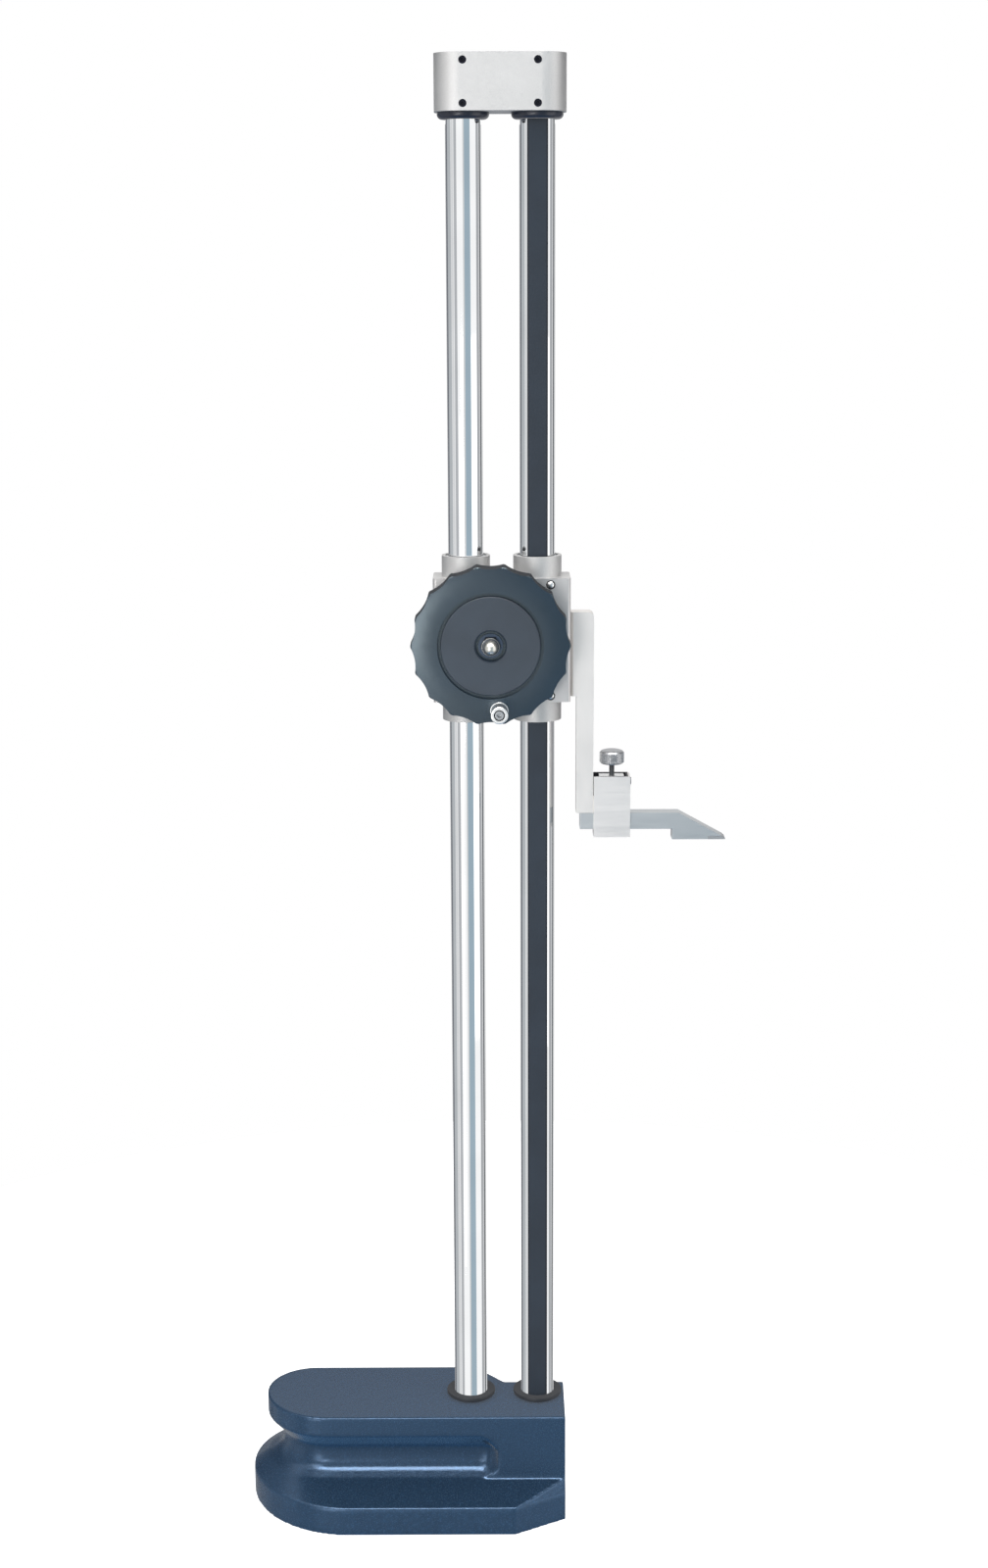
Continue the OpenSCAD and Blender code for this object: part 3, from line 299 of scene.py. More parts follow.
# %% Name a colour
def srgb(red, green, blue):
    """Linear colour for screen values from 0 to 255."""
    return tuple(
        (c / 255 / 12.92 if c <= 10 else ((c / 255 + 0.055) / 1.055) ** 2.4)
        for c in (red, green, blue)
    )


def shade(colour, by):
    """A colour made darker or lighter."""
    return tuple(c * by for c in colour)


# %% Add a texture node
def texture(material, kind, scale, stretch=(1, 1, 1), **inputs):
    """A texture node on Object coordinates. Scale is how many waves or cells go to a metre."""
    nodes, links = material.node_tree.nodes, material.node_tree.links
    place = nodes.get("place") or nodes.new("ShaderNodeTexCoord")
    place.name = "place"
    mapping = nodes.new("ShaderNodeMapping")
    mapping.inputs["Scale"].default_value = stretch
    node = nodes.new(kind)
    node.inputs["Scale"].default_value = scale
    for key, value in inputs.items():
        node.inputs[key].default_value = value
    links.new(place.outputs["Object"], mapping.inputs["Vector"])
    links.new(mapping.outputs["Vector"], node.inputs["Vector"])
    return node


def noise(material, scale, detail, stretch=(1, 1, 1)):
    """The value of a noise texture."""
    return texture(material, "ShaderNodeTexNoise", scale, stretch, Detail=detail).outputs["Fac"]


# %% [markdown]
# A texture's value does nothing by itself. A colour ramp turns it into a tone or into a roughness, and
# a bump node turns it into a slope that the light sees. Bumps are chained, so a surface can have a
# fine grain on top of a wide wave.

# %% Let a texture drive colour, roughness or bump
def ramp(material, source, socket, stops):
    """Runs a texture's value through a colour ramp into a socket of the shader."""
    nodes, links = material.node_tree.nodes, material.node_tree.links
    node = nodes.new("ShaderNodeValToRGB")
    for i, (place, colour) in enumerate(stops):
        stop = node.color_ramp.elements[i] if i < 2 else node.color_ramp.elements.new(place)
        stop.position = place
        stop.color = (*colour, 1) if isinstance(colour, tuple) else (colour, colour, colour, 1)
    links.new(source, node.inputs["Fac"])
    links.new(node.outputs["Color"], nodes["Principled BSDF"].inputs[socket])
    return node


def bump(material, source, strength, height):
    """Adds a bump to a material, on top of any that it has."""
    nodes, links = material.node_tree.nodes, material.node_tree.links
    node = nodes.new("ShaderNodeBump")
    node.inputs["Strength"].default_value = strength
    node.inputs["Distance"].default_value = height
    shader = nodes["Principled BSDF"]
    if shader.inputs["Normal"].links:
        links.new(shader.inputs["Normal"].links[0].from_socket, node.inputs["Normal"])
    links.new(source, node.inputs["Height"])
    links.new(node.outputs["Normal"], shader.inputs["Normal"])
    return node


# %% [markdown]
# ### Hammered blue enamel
#
# The base is cast iron under a dark blue hammered enamel. Metal flake in the paint makes it nearly
# half a metal: it is deep blue where it looks at the dark, and its edges glint. Its skin of small shallow
# dimples only shows in those glints, so the bump is low and the dimples are a millimetre or so wide.

# %% Hammered blue enamel
ENAMEL = srgb(42, 70, 98)
enamel = finish("hammered_blue_enamel", ENAMEL, metallic=0.4, roughness=0.22)
tune(enamel, Specular_IOR_Level=0.46)
ramp(enamel, noise(enamel, 700, 3.0), "Base Color",
     [(0.32, shade(ENAMEL, 0.82)), (0.58, ENAMEL), (0.74, shade(ENAMEL, 1.35))])
dimples = texture(enamel, "ShaderNodeTexVoronoi", 700, Randomness=1.0)
dimples.feature = "SMOOTH_F1"
bump(enamel, dimples.outputs["Distance"], 0.3, 0.07 * MM)
bump(enamel, noise(enamel, 120, 2.0), 0.06, 1.2 * MM)
speckle = noise(enamel, 1700, 2.0)
bump(enamel, speckle, 0.16, 0.06 * MM)
ramp(enamel, speckle, "Roughness", [(0.35, 0.16), (0.65, 0.3)])
print("enamel:", len(enamel.node_tree.nodes), "nodes")

# %% [markdown]
# ### Bright metals
#
# The columns are ground and hard chromed, so they mirror the studio in upright streaks. The cap, the
# carriage and the arm are satin: the same metal with a wider gloss, and a fine grain along the way
# that each was ground. A stretched noise gives that grain, and a wide cloud keeps large faces from
# looking like flat paint.

# %% Make a ground metal
def satin(name, colour, roughness, stretch, grain=0.06, metallic=1.0):
    """Ground metal with a fine grain that runs the long way of stretch."""
    material = finish(name, colour, metallic, roughness)
    lines = noise(material, 1400, 4.0, stretch)
    ramp(material, lines, "Roughness", [(0.3, roughness * 0.85), (0.7, roughness * 1.15)])
    ramp(material, noise(material, 35, 2.0), "Base Color", [(0.35, shade(colour, 0.955)), (0.65, colour)])
    bump(material, lines, grain, 0.08 * MM)
    return material


# %% Chrome, satin and dark metals
ALONG_X = (0.04, 1, 1)
ALONG_Z = (1, 1, 0.04)
ALL_ROUND = (1, 1, 1)
chrome = satin("column_chrome", (0.93, 0.94, 0.95), 0.03, ALONG_Z, 0.005)
cap_silver = satin("cap_silver", srgb(202, 201, 200), 0.55, ALL_ROUND)
carriage_silver = satin("carriage_silver", srgb(205, 204, 203), 0.56, ALL_ROUND)
cover_silver = satin("cover_silver", srgb(206, 204, 203), 0.46, ALL_ROUND)
arm_steel = satin("arm_steel", srgb(248, 243, 239), 0.38, ALONG_Z, 0.03)
clamp_steel = satin("clamp_steel", srgb(234, 231, 229), 0.45, ALONG_X, 0.03)
scriber_steel = satin("scriber_steel", srgb(203, 206, 208), 0.38, ALONG_X, 0.04)
bright_steel = satin("bright_steel", srgb(232, 234, 237), 0.09, ALL_ROUND, 0.02)
nut_silver = satin("nut_silver", srgb(222, 220, 212), 0.34, ALL_ROUND, 0.03)
knob_silver = satin("knob_silver", srgb(250, 250, 249), 0.3, ALL_ROUND, 0.03)
plain_steel = satin("plain_steel", srgb(184, 187, 190), 0.3, ALL_ROUND)
knurl_steel = satin("knurl_steel", srgb(184, 185, 187), 0.42, ALL_ROUND)
stem_grey = satin("stem_grey", srgb(128, 130, 132), 0.4, ALL_ROUND)
dark_steel = satin("dark_steel", srgb(70, 74, 80), 0.35, ALL_ROUND, metallic=0.8)
# Painted shade: a near-black finish that stands in for the shadow inside pockets, wells and countersinks.
pocket_painted_shade = satin("pocket_painted_shade", srgb(34, 34, 40), 0.5, ALL_ROUND, metallic=0.3)
black_oxide = satin("black_oxide", srgb(24, 27, 42), 0.3, ALL_ROUND, metallic=0.5)
carbide = satin("carbide", srgb(168, 170, 173), 0.42, ALL_ROUND, metallic=0.8)
brass = satin("bearing_brass", srgb(206, 164, 88), 0.3, ALL_ROUND)
print("grain of the metals runs along", ALONG_X, "or", ALONG_Z)

# %% [markdown]
# ### Plastics, rubber and the scale
#
# Moulded parts have a fine spark texture, and rubber is dull with a soft sheen. The scale is a dark
# glossy film. The handwheel's front is the glossiest plastic, with a cool gloss, and its grip is dull.

# %% Make a moulded plastic
def moulded(name, colour, roughness, grain, coat=0.0, size=2600):
    """Plastic with a fine spark-eroded grain and a slight change of tone."""
    material = finish(name, colour, 0, roughness, coat)
    bump(material, noise(material, size, 3.0), grain, 0.06 * MM)
    ramp(material, noise(material, 45, 2.0), "Base Color",
         [(0.35, shade(colour, 0.9)), (0.65, shade(colour, 1.08))])
    return material


# %% The handwheel's plastics
wheel_grey = moulded("wheel_grey", srgb(19, 35, 52), 0.27, 0.12, size=260)
tune(wheel_grey, Specular_IOR_Level=1.0, Specular_Tint=(0.8, 0.95, 1.0, 1))
wheel_grip = moulded("wheel_grip", srgb(22, 32, 44), 0.62, 0.3, size=900)
tune(wheel_grip, Specular_IOR_Level=0.2)
# Painted shade: the step down to the disc is darker than the wheel, for the shadow in it.
wheel_step_painted_shade = moulded("wheel_step_painted_shade", srgb(20, 28, 40), 0.4, 0.1)
disc_grey = moulded("disc_grey", srgb(46, 58, 71), 0.45, 0.35, size=1300)
recess_blue = moulded("recess_blue", srgb(54, 74, 98), 0.4, 0.1)

# %% The readout's plastics, the rubber and the scale
housing_grey = moulded("housing_grey", srgb(58, 68, 80), 0.5, 0.2)
panel_grey = moulded("panel_grey", srgb(40, 46, 54), 0.42, 0.15)
key_red = moulded("key_red", srgb(176, 62, 52), 0.45, 0.1)
key_yellow = moulded("key_yellow", srgb(214, 170, 52), 0.45, 0.1)
key_grey = moulded("key_grey", srgb(196, 200, 204), 0.45, 0.1)
rubber = moulded("black_rubber", srgb(40, 43, 49), 0.5, 0.25)
buffer_blue = moulded("buffer_blue", srgb(20, 28, 46), 0.3, 0.1, 0.2)
film = moulded("scale_film", srgb(33, 44, 57), 0.3, 0.03)
film_edge = moulded("scale_film_edge", srgb(16, 24, 38), 0.3, 0.03)
board_green = moulded("board_green", srgb(38, 92, 62), 0.45, 0.1, 0.3)
lcd_grey = moulded("lcd_grey", srgb(150, 160, 146), 0.35, 0.02, 0.4)
lcd_ink = moulded("lcd_ink", srgb(30, 34, 32), 0.4, 0.02)

# %% The display's window
clear = finish("window_clear", (0.92, 0.95, 0.96), 0, 0.03)
tune(clear, Transmission_Weight=1.0)
ramp(clear, noise(clear, 300, 2.0), "Roughness", [(0.3, 0.02), (0.7, 0.06)])

# %% [markdown]
# ### One finish for every node
#
# The frame's nodes carry plain colours from the record. Each slot name gets its finish here, so that
# no node is left plain. A few nodes then take another finish than their slot's.

# %% Paint the nodes
slot_finishes = {
    "base_paint": enamel, "column_chrome": chrome, "scale_film": film, "black_rubber": rubber,
    "cap_silver": cap_silver, "carriage_silver": carriage_silver, "bright_steel": bright_steel,
    "dark_steel": dark_steel, "plain_steel": plain_steel, "bearing_brass": brass,
    "wheel_plastic": wheel_grey, "disc_plastic": disc_grey, "housing_plastic": housing_grey,
    "panel_plastic": panel_grey, "window_clear": clear, "lcd_grey": lcd_grey,
    "board_green": board_green, "cell_steel": bright_steel, "arm_steel": arm_steel,
    "scriber_steel": scriber_steel, "carbide_grey": carbide, "button_red": key_red,
    "button_yellow": key_yellow, "button_grey": key_grey,
}
node_finishes = {
    "front_cover": cover_silver, "clamp_frame": clamp_steel, "upper_buffers": buffer_blue,
    "hub_washer": recess_blue, "crank_knob": knob_silver, "knob_collar": knob_silver,
    "knob_screw": plain_steel, "pinion_bushes": plain_steel, "cap_set_screws": black_oxide,
    "bridge_screw": dark_steel, "clamp_bridge": knob_silver,
}
for node, piece in frame["nodes"].items():
    piece.material_slots[0].material = node_finishes.get(node, slot_finishes[slot_names[node]])
print("finishes:", len(bpy.data.materials))

# %% [markdown]
# ## The base
#
# A casting has no knife edges: the mould rounds them and the enamel rounds them more. Bevels would
# have to meet in many odd corners here, so the copy is remeshed into even small squares and relaxed,
# which rounds every edge by the same millimetre, inside and out. The finger grooves were swept by a
# round core, so their hollows are smoothed further, while their lips stay crisp.

# %% Round the casting
VOXEL = 0.9 * MM
base = bench_copy("base_casting", "base_body")
even = base.modifiers.new("even", "REMESH")
even.mode = "VOXEL"
even.voxel_size = VOXEL
relax = base.modifiers.new("relax", "SMOOTH")
relax.factor = 0.5
relax.iterations = 2
apply_all(base)
print("casting:", len(base.data.polygons), "squares of", VOXEL / MM, "mm")

# %% Smooth its finger grooves
HOLLOW_LOW, HOLLOW_HIGH = 25.5 * MM, 46.5 * MM
HOLLOW_RIGHT = -4 * MM
HOLLOW_PASSES = 14
pick_faces(base, lambda face: (
    HOLLOW_LOW < face.center.z < HOLLOW_HIGH and face.center.x < HOLLOW_RIGHT))
bpy.ops.mesh.vertices_smooth(factor=0.5, repeat=HOLLOW_PASSES)
close_bench()
bpy.ops.object.shade_smooth()
seat(base, "base_casting")
print("base:", len(base.data.polygons), "faces")

# %% [markdown]
# ## Machined and moulded pieces
#
# Every machined edge is broken a little, and that thin line of light is what makes metal look real.
# Each piece gets the width that its real edge has, in millimetres.

# %% Break the machined edges
soft_edges = {
    "top_cap": 0.7, "carriage_block": 0.45, "measuring_arm": 0.7, "clamp_bridge": 0.2,
    "scriber_bar": 0.25, "carbide_tip": 0.1, "handwheel": 0.6, "face_disc": 0.15,
    "readout_housing": 0.6, "readout_panel": 0.3, "battery_cover": 0.2, "port_cover": 0.2,
    "hub_washer": 0.1, "knob_collar": 0.2, "crank_knob": 0.15, "knob_screw": 0.12,
    "bridge_screw": 0.3, "lower_buffers": 0.4, "lower_buffer_seats": 0.2, "upper_buffers": 0.2,
    "cap_set_screws": 0.15, "arm_screws": 0.25, "coin_cell": 0.3,
}
for node, width in soft_edges.items():
    seat(round_edges(bench_copy(node, node + "_piece"), width * MM), node)
print("softened:", len(soft_edges))

# %% [markdown]
# ## The crank knob
#
# The knob's screw sits in a small well. The well's inner faces and the socket of the screw take painted
# shade, a near-black finish for the shadow in them, and it draws a thin dark ring round the bright head.
# Both shapes are there already, so only a second finish on their inner faces is needed.

# %% Paint shade into the well of the knob and the socket of its screw
WELL_RADIUS = 2.95 * MM
WELL_RIM = 0.2 * MM
SOCKET_RADIUS = 1.9 * MM
SOCKET_DEPTH = 2 * MM
knob_axis = middle("crank_knob")
knob_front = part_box("crank_knob")[0].y


def from_knob_axis(face):
    """How far a face's middle is from the knob's axis."""
    return math.hypot(face.center.x - knob_axis.x, face.center.z - knob_axis.z)


second_finish(bpy.data.objects["crank_knob_piece"], pocket_painted_shade, lambda face: (
    from_knob_axis(face) < WELL_RADIUS and face.center.y > knob_front + WELL_RIM))
second_finish(bpy.data.objects["knob_screw_piece"], pocket_painted_shade, lambda face: (
    from_knob_axis(face) < SOCKET_RADIUS and face.center.y < knob_front + SOCKET_DEPTH
    and abs(face.normal.y) < 0.9))
print("knob's well:", round(2 * WELL_RADIUS / MM, 1), "mm wide")

# %% [markdown]
# ## The scale
#
# The scale is a dark film in a shallow frame. Insetting its front face gives the frame, which is
# darker than the film and stands a hair above it.

# %% Frame the scale
FRAME_WIDTH = 0.9 * MM
FRAME_SLOPE = 0.1 * MM
FRAME_DEPTH = 0.06 * MM
scale = bench_copy("scale_strip", "scale_strip_piece")
second_finish(scale, film_edge, lambda face: face.normal.y > -0.5)
pick_faces(scale, lambda face: face.normal.y < -0.5)
bpy.ops.mesh.inset(thickness=FRAME_WIDTH, depth=0)
bpy.ops.mesh.inset(thickness=FRAME_SLOPE, depth=-FRAME_DEPTH)
close_bench()

# %% Darken the frame of the scale
strip_low, strip_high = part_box("scale_strip")
pick_faces(scale, lambda face: (
    face.normal.y < -0.5 and face.center.y < strip_low.y + 0.5 * FRAME_DEPTH))
scale.active_material_index = 1
bpy.ops.object.material_slot_assign()
close_bench()
seat(scale, "scale_strip")
print("scale:", round((strip_high.z - strip_low.z) / MM), "mm long")

# %% [markdown]
# In the picture the streaks in the columns are clean and reach down to their feet. So the columns,
# the scale, the rubber rings and the base are kept out of each other's reflections. Light and shadow
# stay as they are.

# %% Keep the streaks clean
unmirrored = [base, scale, frame["nodes"]["main_column"], frame["nodes"]["scale_column"]]
unmirrored += [bpy.data.objects[node + "_piece"] for node in ("lower_buffers", "lower_buffer_seats")]
for piece in unmirrored:
    piece.visible_glossy = False
print("kept out of reflections:", len(unmirrored))

# %% [markdown]
# ## The cover and its screws
#
# The cover's four screws sit in small countersinks: a pale ring of bare metal, a dark gap, and a
# bright dome. The countersinks are cut with turned cutters, and the domes are the upper part of a
# ball on a short neck. The dark gap is painted shade: the faces below the bare ring take a near-black
# finish for the shadow in the countersink. They are found by their middles, so the rule leaves a
# small margin.

# %% Sink the cover screws
SINK_RADIUS = 2.4 * MM
SINK_DEPTH = 0.7 * MM
NODE_HEAD_RADIUS = 2.1 * MM
cover = bench_copy("front_cover", "front_cover_piece")
cover_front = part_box("front_cover")[0].y
screw_low, screw_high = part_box("cover_screws")
screw_places = [
    (x, z)
    for x in (screw_low.x + NODE_HEAD_RADIUS, screw_high.x - NODE_HEAD_RADIUS)
    for z in (screw_low.z + NODE_HEAD_RADIUS, screw_high.z - NODE_HEAD_RADIUS)
]
for x, z in screw_places:
    bpy.ops.mesh.primitive_cylinder_add(
        vertices=40, radius=SINK_RADIUS, depth=2 * SINK_DEPTH,
        location=(x, cover_front, z), rotation=(math.pi / 2, 0, 0))
    cut(cover, bpy.context.object)
print("countersinks:", len(screw_places))

# %% Paint shade into the countersinks
BARE_RING = 0.25 * MM
MARGIN = 0.05 * MM


def in_countersink(face):
    """Whether a face lies in a countersink, below its bare ring."""
    deep = cover_front + BARE_RING < face.center.y < cover_front + SINK_DEPTH + MARGIN
    return deep and any(
        math.hypot(face.center.x - x, face.center.z - z) < SINK_RADIUS + 2 * MARGIN
        for x, z in screw_places)


round_edges(cover, 0.3 * MM)
paint(cover, cover_silver)
# The countersinks' faces below the bare ring take painted shade.
second_finish(cover, pocket_painted_shade, in_countersink)
seat(cover, "front_cover")
print("cover:", len(cover.data.polygons), "faces")


# %% Turn a domed screw
HEAD_RADIUS = 1.9 * MM
HEAD_HEIGHT = 0.55


def domed_screw(x, z, name):
    """A bright domed head on a neck that fills its countersink."""
    bpy.ops.mesh.primitive_uv_sphere_add(
        segments=40, ring_count=20, radius=HEAD_RADIUS, location=(x, cover_front, z),
        rotation=(math.pi / 2, 0, 0))
    head = apply_place()
    head.name = name
    bpy.ops.object.mode_set(mode="EDIT")
    bpy.ops.mesh.bisect(plane_co=(x, cover_front, z), plane_no=(0, 1, 0), clear_outer=True)
    bpy.ops.mesh.edge_face_add()
    bpy.ops.mesh.extrude_region_move(TRANSFORM_OT_translate={"value": (0, SINK_DEPTH, 0)})
    bpy.ops.mesh.select_all(action="SELECT")
    bpy.ops.transform.resize(
        value=(1, HEAD_HEIGHT, 1), center_override=(x, cover_front + SINK_DEPTH, z))
    bpy.ops.mesh.normals_make_consistent(inside=False)
    close_bench()
    bpy.ops.object.shade_smooth_by_angle(angle=math.radians(40))
    return head


# %% Set four of them
heads = [domed_screw(x, z, "domed_head_%d" % i) for i, (x, z) in enumerate(screw_places)]
domes = paint(join(heads, "cover_screw_domes"), knob_silver)
seat(domes, "cover_screws")
print("cover screws:", len(heads))

# %% [markdown]
# ## The clamp
#
# The clamp frame is satin outside. The inner faces of its pocket take painted shade, a near-black
# finish for the shadow in the pocket, so it reads as a dark slot beside the bridge.

# %% Paint shade into the pocket of the clamp
CLAMP_WALL = 1.6 * MM
CLAMP_END = 2.4 * MM
CLAMP_FLOOR = 1 * MM
POCKET_MARGIN = 0.2 * MM
clamp = bench_copy("clamp_frame", "clamp_frame_piece")
clamp_low, clamp_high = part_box("clamp_frame")
round_edges(clamp, 0.2 * MM)
# Painted shade on the pocket's inner faces.
second_finish(clamp, pocket_painted_shade, lambda face: (
    abs(face.center.y) < clamp_high.y - CLAMP_WALL + POCKET_MARGIN
    and clamp_low.x + 2 * POCKET_MARGIN < face.center.x < clamp_high.x - CLAMP_END + POCKET_MARGIN
    and face.center.z > clamp_low.z + CLAMP_FLOOR))
seat(clamp, "clamp_frame")
print("clamp:", len(clamp.data.polygons), "faces")

# %% [markdown]
# ## The thumb screw
#
# The thumb screw is turned from a bar: a knurled rim, a low dome on top, a taper below, and a
# threaded stem. A spun outline would leave the rim plain, so a cylinder gives the rim, and its faces
# can then be knurled one by one. Each end face is inset and pushed in small steps, as a lathe tool
# would step across it. An end face lies at a known height, so it is found within a hundredth of a
# millimetre.

# %% Start the thumb screw
THUMB_RADIUS = 6.35 * MM
THUMB_RIM = 5.5 * MM
THUMB_HEAD = 7.8 * MM
THUMB_TAPER = 0.85 * MM
thumb_x = middle("clamp_screw").x
thumb_low, thumb_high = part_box("clamp_screw")
rim_z = thumb_high.z - THUMB_HEAD + THUMB_TAPER
bpy.ops.object.select_all(action="DESELECT")
bpy.ops.mesh.primitive_cylinder_add(
    vertices=48, radius=THUMB_RADIUS, depth=THUMB_RIM, location=(thumb_x, 0, rim_z + THUMB_RIM / 2))
thumb = apply_place()
thumb.name = "thumb_screw"
print("thumb screw:", round(2 * THUMB_RADIUS / MM, 1), "mm wide")

# %% Knurl its rim
KNURL_ROWS = 5
KNURL_GROOVE = 0.2 * MM
KNURL_HEIGHT = 0.3 * MM
for row in range(1, KNURL_ROWS):
    pick_faces(thumb, lambda face: True)
    bpy.ops.mesh.bisect(plane_co=(0, 0, rim_z + THUMB_RIM * row / KNURL_ROWS), plane_no=(0, 0, 1))
    close_bench()
pick_faces(thumb, lambda face: abs(face.normal.z) < 0.5)
bpy.ops.mesh.inset(thickness=KNURL_GROOVE, depth=KNURL_HEIGHT, use_individual=True)
close_bench()
print("knurled:", KNURL_ROWS, "rows")


# %% Turn its top
TOUCH = 0.01 * MM


def turn(steps):
    """Steps the selected end face inwards and outwards: pairs of inset and rise in millimetres."""
    for inwards, rise in steps:
        bpy.ops.mesh.inset(thickness=inwards * MM, depth=rise * MM)


pick_faces(thumb, lambda face: face.normal.z > 0.9 and face.center.z > rim_z + THUMB_RIM - TOUCH)
turn([(0.25, 0.45), (0.5, 0.4), (1.1, 0.35), (2.0, 0.25)])
close_bench()

# %% Turn its taper and its threaded stem
THREADS = 12
PITCH = 0.52 * MM
THREAD_ROOT = 0.86
STEM_END = 0.93
stem_top = rim_z - THUMB_TAPER
pick_faces(thumb, lambda face: face.normal.z < -0.9 and face.center.z < rim_z + TOUCH)
turn([(0.25, 0.4), (0.6, 0.3), (1.5, 0.15), (2.5, 0)])
for flank in (THREAD_ROOT, 1 / THREAD_ROOT) * THREADS:
    bpy.ops.mesh.extrude_region_move(TRANSFORM_OT_translate={"value": (0, 0, -PITCH / 2)})
    bpy.ops.transform.resize(value=(flank, flank, 1), center_override=(thumb_x, 0, 0))
stem_left = stem_top - THREADS * PITCH - thumb_low.z
bpy.ops.transform.resize(value=(STEM_END, STEM_END, 1), center_override=(thumb_x, 0, 0))
bpy.ops.mesh.extrude_region_move(TRANSFORM_OT_translate={"value": (0, 0, -stem_left)})
close_bench()
print("stem:", THREADS, "threads and", round(stem_left / MM, 1), "mm more")

# %% Finish the thumb screw
bpy.ops.object.shade_smooth_by_angle(angle=math.radians(28))
paint(thumb, knurl_steel)
second_finish(thumb, stem_grey, lambda face: face.center.z < stem_top - TOUCH)
seat(thumb, "clamp_screw")
print("thumb screw:", len(thumb.data.polygons), "faces")

# %% [markdown]
# ## The handwheel
#
# The wheel is glossy in front. Its grip is moulded with a duller skin, so that wet fingers hold it.
# The step down to the disc takes painted shade, a darker finish for the shadow that falls in it. The
# wheel is one moulding, so it stays one piece, and the faces are told apart by how far they lie from
# its axis.

# %% Dull the grip and paint shade on the step
disc_axis = middle("face_disc")
disc_low, disc_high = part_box("face_disc")
DISC_RADIUS = (disc_high.x - disc_low.x) / 2
STEP_WIDTH = 0.7 * MM
STEP_OVERLAP = 1 * MM
GRIP_START = DISC_RADIUS + 6 * MM
wheel = bpy.data.objects["handwheel_piece"]


def hub_distances(face):
    """How near and how far the corners of a face are from the handwheel's axis."""
    corners = [wheel.data.vertices[i].co for i in face.vertices]
    distances = [math.hypot(corner.x - disc_axis.x, corner.z - disc_axis.z) for corner in corners]
    return min(distances), max(distances)


second_finish(wheel, wheel_grip, lambda face: (
    abs(face.normal.y) < 0.6 and hub_distances(face)[0] > GRIP_START))
# The step takes painted shade.
second_finish(wheel, wheel_step_painted_shade, lambda face: (
    hub_distances(face)[0] > DISC_RADIUS - STEP_OVERLAP
    and hub_distances(face)[1] < DISC_RADIUS + STEP_WIDTH))
print("handwheel:", len(wheel.data.polygons), "faces")

# %% [markdown]
# ## The hub nut
#
# A cap nut is a hexagon whose corners are turned off by a shallow cone, with a dome on top. A bevel
# would take the same off every edge. Cutting the hexagon with a turned blank gives the curved corner
# marks that every real nut has.

# %% Cut the hub nut
NUT_FLATS = 9.4 * MM
NUT_HEX = 4.2 * MM
NUT_CORNER = NUT_FLATS / 2 / math.cos(math.pi / 6)
BLANK_WIDTH, BLANK_LENGTH = 1.02, 1.2
CONE_TOP = 0.84
hub = middle("hub_nut")
nut_low, nut_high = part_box("hub_nut")
hex_y = nut_high.y - NUT_HEX / 2


def along_y(vertices, radius, depth, y):
    """A cylinder on the handwheel's axis."""
    bpy.ops.object.select_all(action="DESELECT")
    bpy.ops.mesh.primitive_cylinder_add(
        vertices=vertices, radius=radius, depth=depth, location=(hub.x, y, hub.z),
        rotation=(math.pi / 2, math.pi / 6, 0))
    return apply_place()


nut = along_y(6, NUT_CORNER, NUT_HEX, hex_y)
nut.name = "cap_nut"
blank = along_y(96, NUT_CORNER * BLANK_WIDTH, NUT_HEX * BLANK_LENGTH, hex_y + 0.1 * NUT_HEX)
pick_faces(blank, lambda face: face.normal.y < -0.9)
bpy.ops.transform.resize(value=(CONE_TOP, 1, CONE_TOP), center_override=(hub.x, 0, hub.z))
close_bench()
cut(nut, blank, "INTERSECT")
print("hub nut:", NUT_FLATS / MM, "mm over its flats")

# %% Paint its flats dark and its chamfer bright
round_edges(nut, 0.12 * MM)
paint(nut, dark_steel)
second_finish(nut, nut_silver, lambda face: -0.97 < face.normal.y < -0.2)

# %% Dome the nut
DOME_RADIUS = 3.6 * MM
DOME_ROOT = 0.3 * MM
dome_y = nut_low.y + DOME_RADIUS
bpy.ops.object.select_all(action="DESELECT")
bpy.ops.mesh.primitive_uv_sphere_add(
    segments=48, ring_count=24, radius=DOME_RADIUS, location=(hub.x, dome_y, hub.z),
    rotation=(math.pi / 2, 0, 0))
dome = apply_place()
bpy.ops.object.mode_set(mode="EDIT")
bpy.ops.mesh.select_all(action="SELECT")
bpy.ops.mesh.bisect(plane_co=(hub.x, dome_y, hub.z), plane_no=(0, 1, 0), clear_outer=True)
bpy.ops.mesh.edge_face_add()
bpy.ops.mesh.extrude_region_move(
    TRANSFORM_OT_translate={"value": (0, nut_high.y - NUT_HEX + DOME_ROOT - dome_y, 0)})
bpy.ops.mesh.select_all(action="SELECT")
bpy.ops.mesh.normals_make_consistent(inside=False)
close_bench()

# %% Join the dome and the hexagon
paint(dome, nut_silver)
cut(nut, dome, "UNION")
bpy.ops.object.shade_smooth_by_angle(angle=math.radians(25))
seat(nut, "hub_nut")
print("nut:", len(nut.data.polygons), "faces")

# %% [markdown]
# ## The keys of the readout
#
# The four keys on the far side are dished for a fingertip. The end face of each one is inset and
# pushed in twice, and the rim is then rounded.

# %% Dish the keys
KEYS = ("power_button", "zero_button", "units_button", "hold_button")
for node in KEYS:
    key = bench_copy(node, node + "_piece")
    key_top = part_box(node)[1].y
    pick_faces(key, lambda face: face.normal.y > 0.9 and face.center.y > key_top - TOUCH)
    turn([(0.45, 0), (0.5, -0.18), (0.9, -0.1)])
    close_bench()
    seat(round_edges(key, 0.18 * MM, angle=50), node)
print("keys:", len(KEYS))

# %% [markdown]
# ## The figures of the display
#
# The display shows the height of the scriber's edge above the table, in plain seven-segment figures.
# A text object would bring a typeface with it, so the figures are built as the glass is, from bars.
# One bar is a six-sided rod that is stretched along its length, so both of its ends are pointed.
# Copies of it stand for the lit segments of each figure.

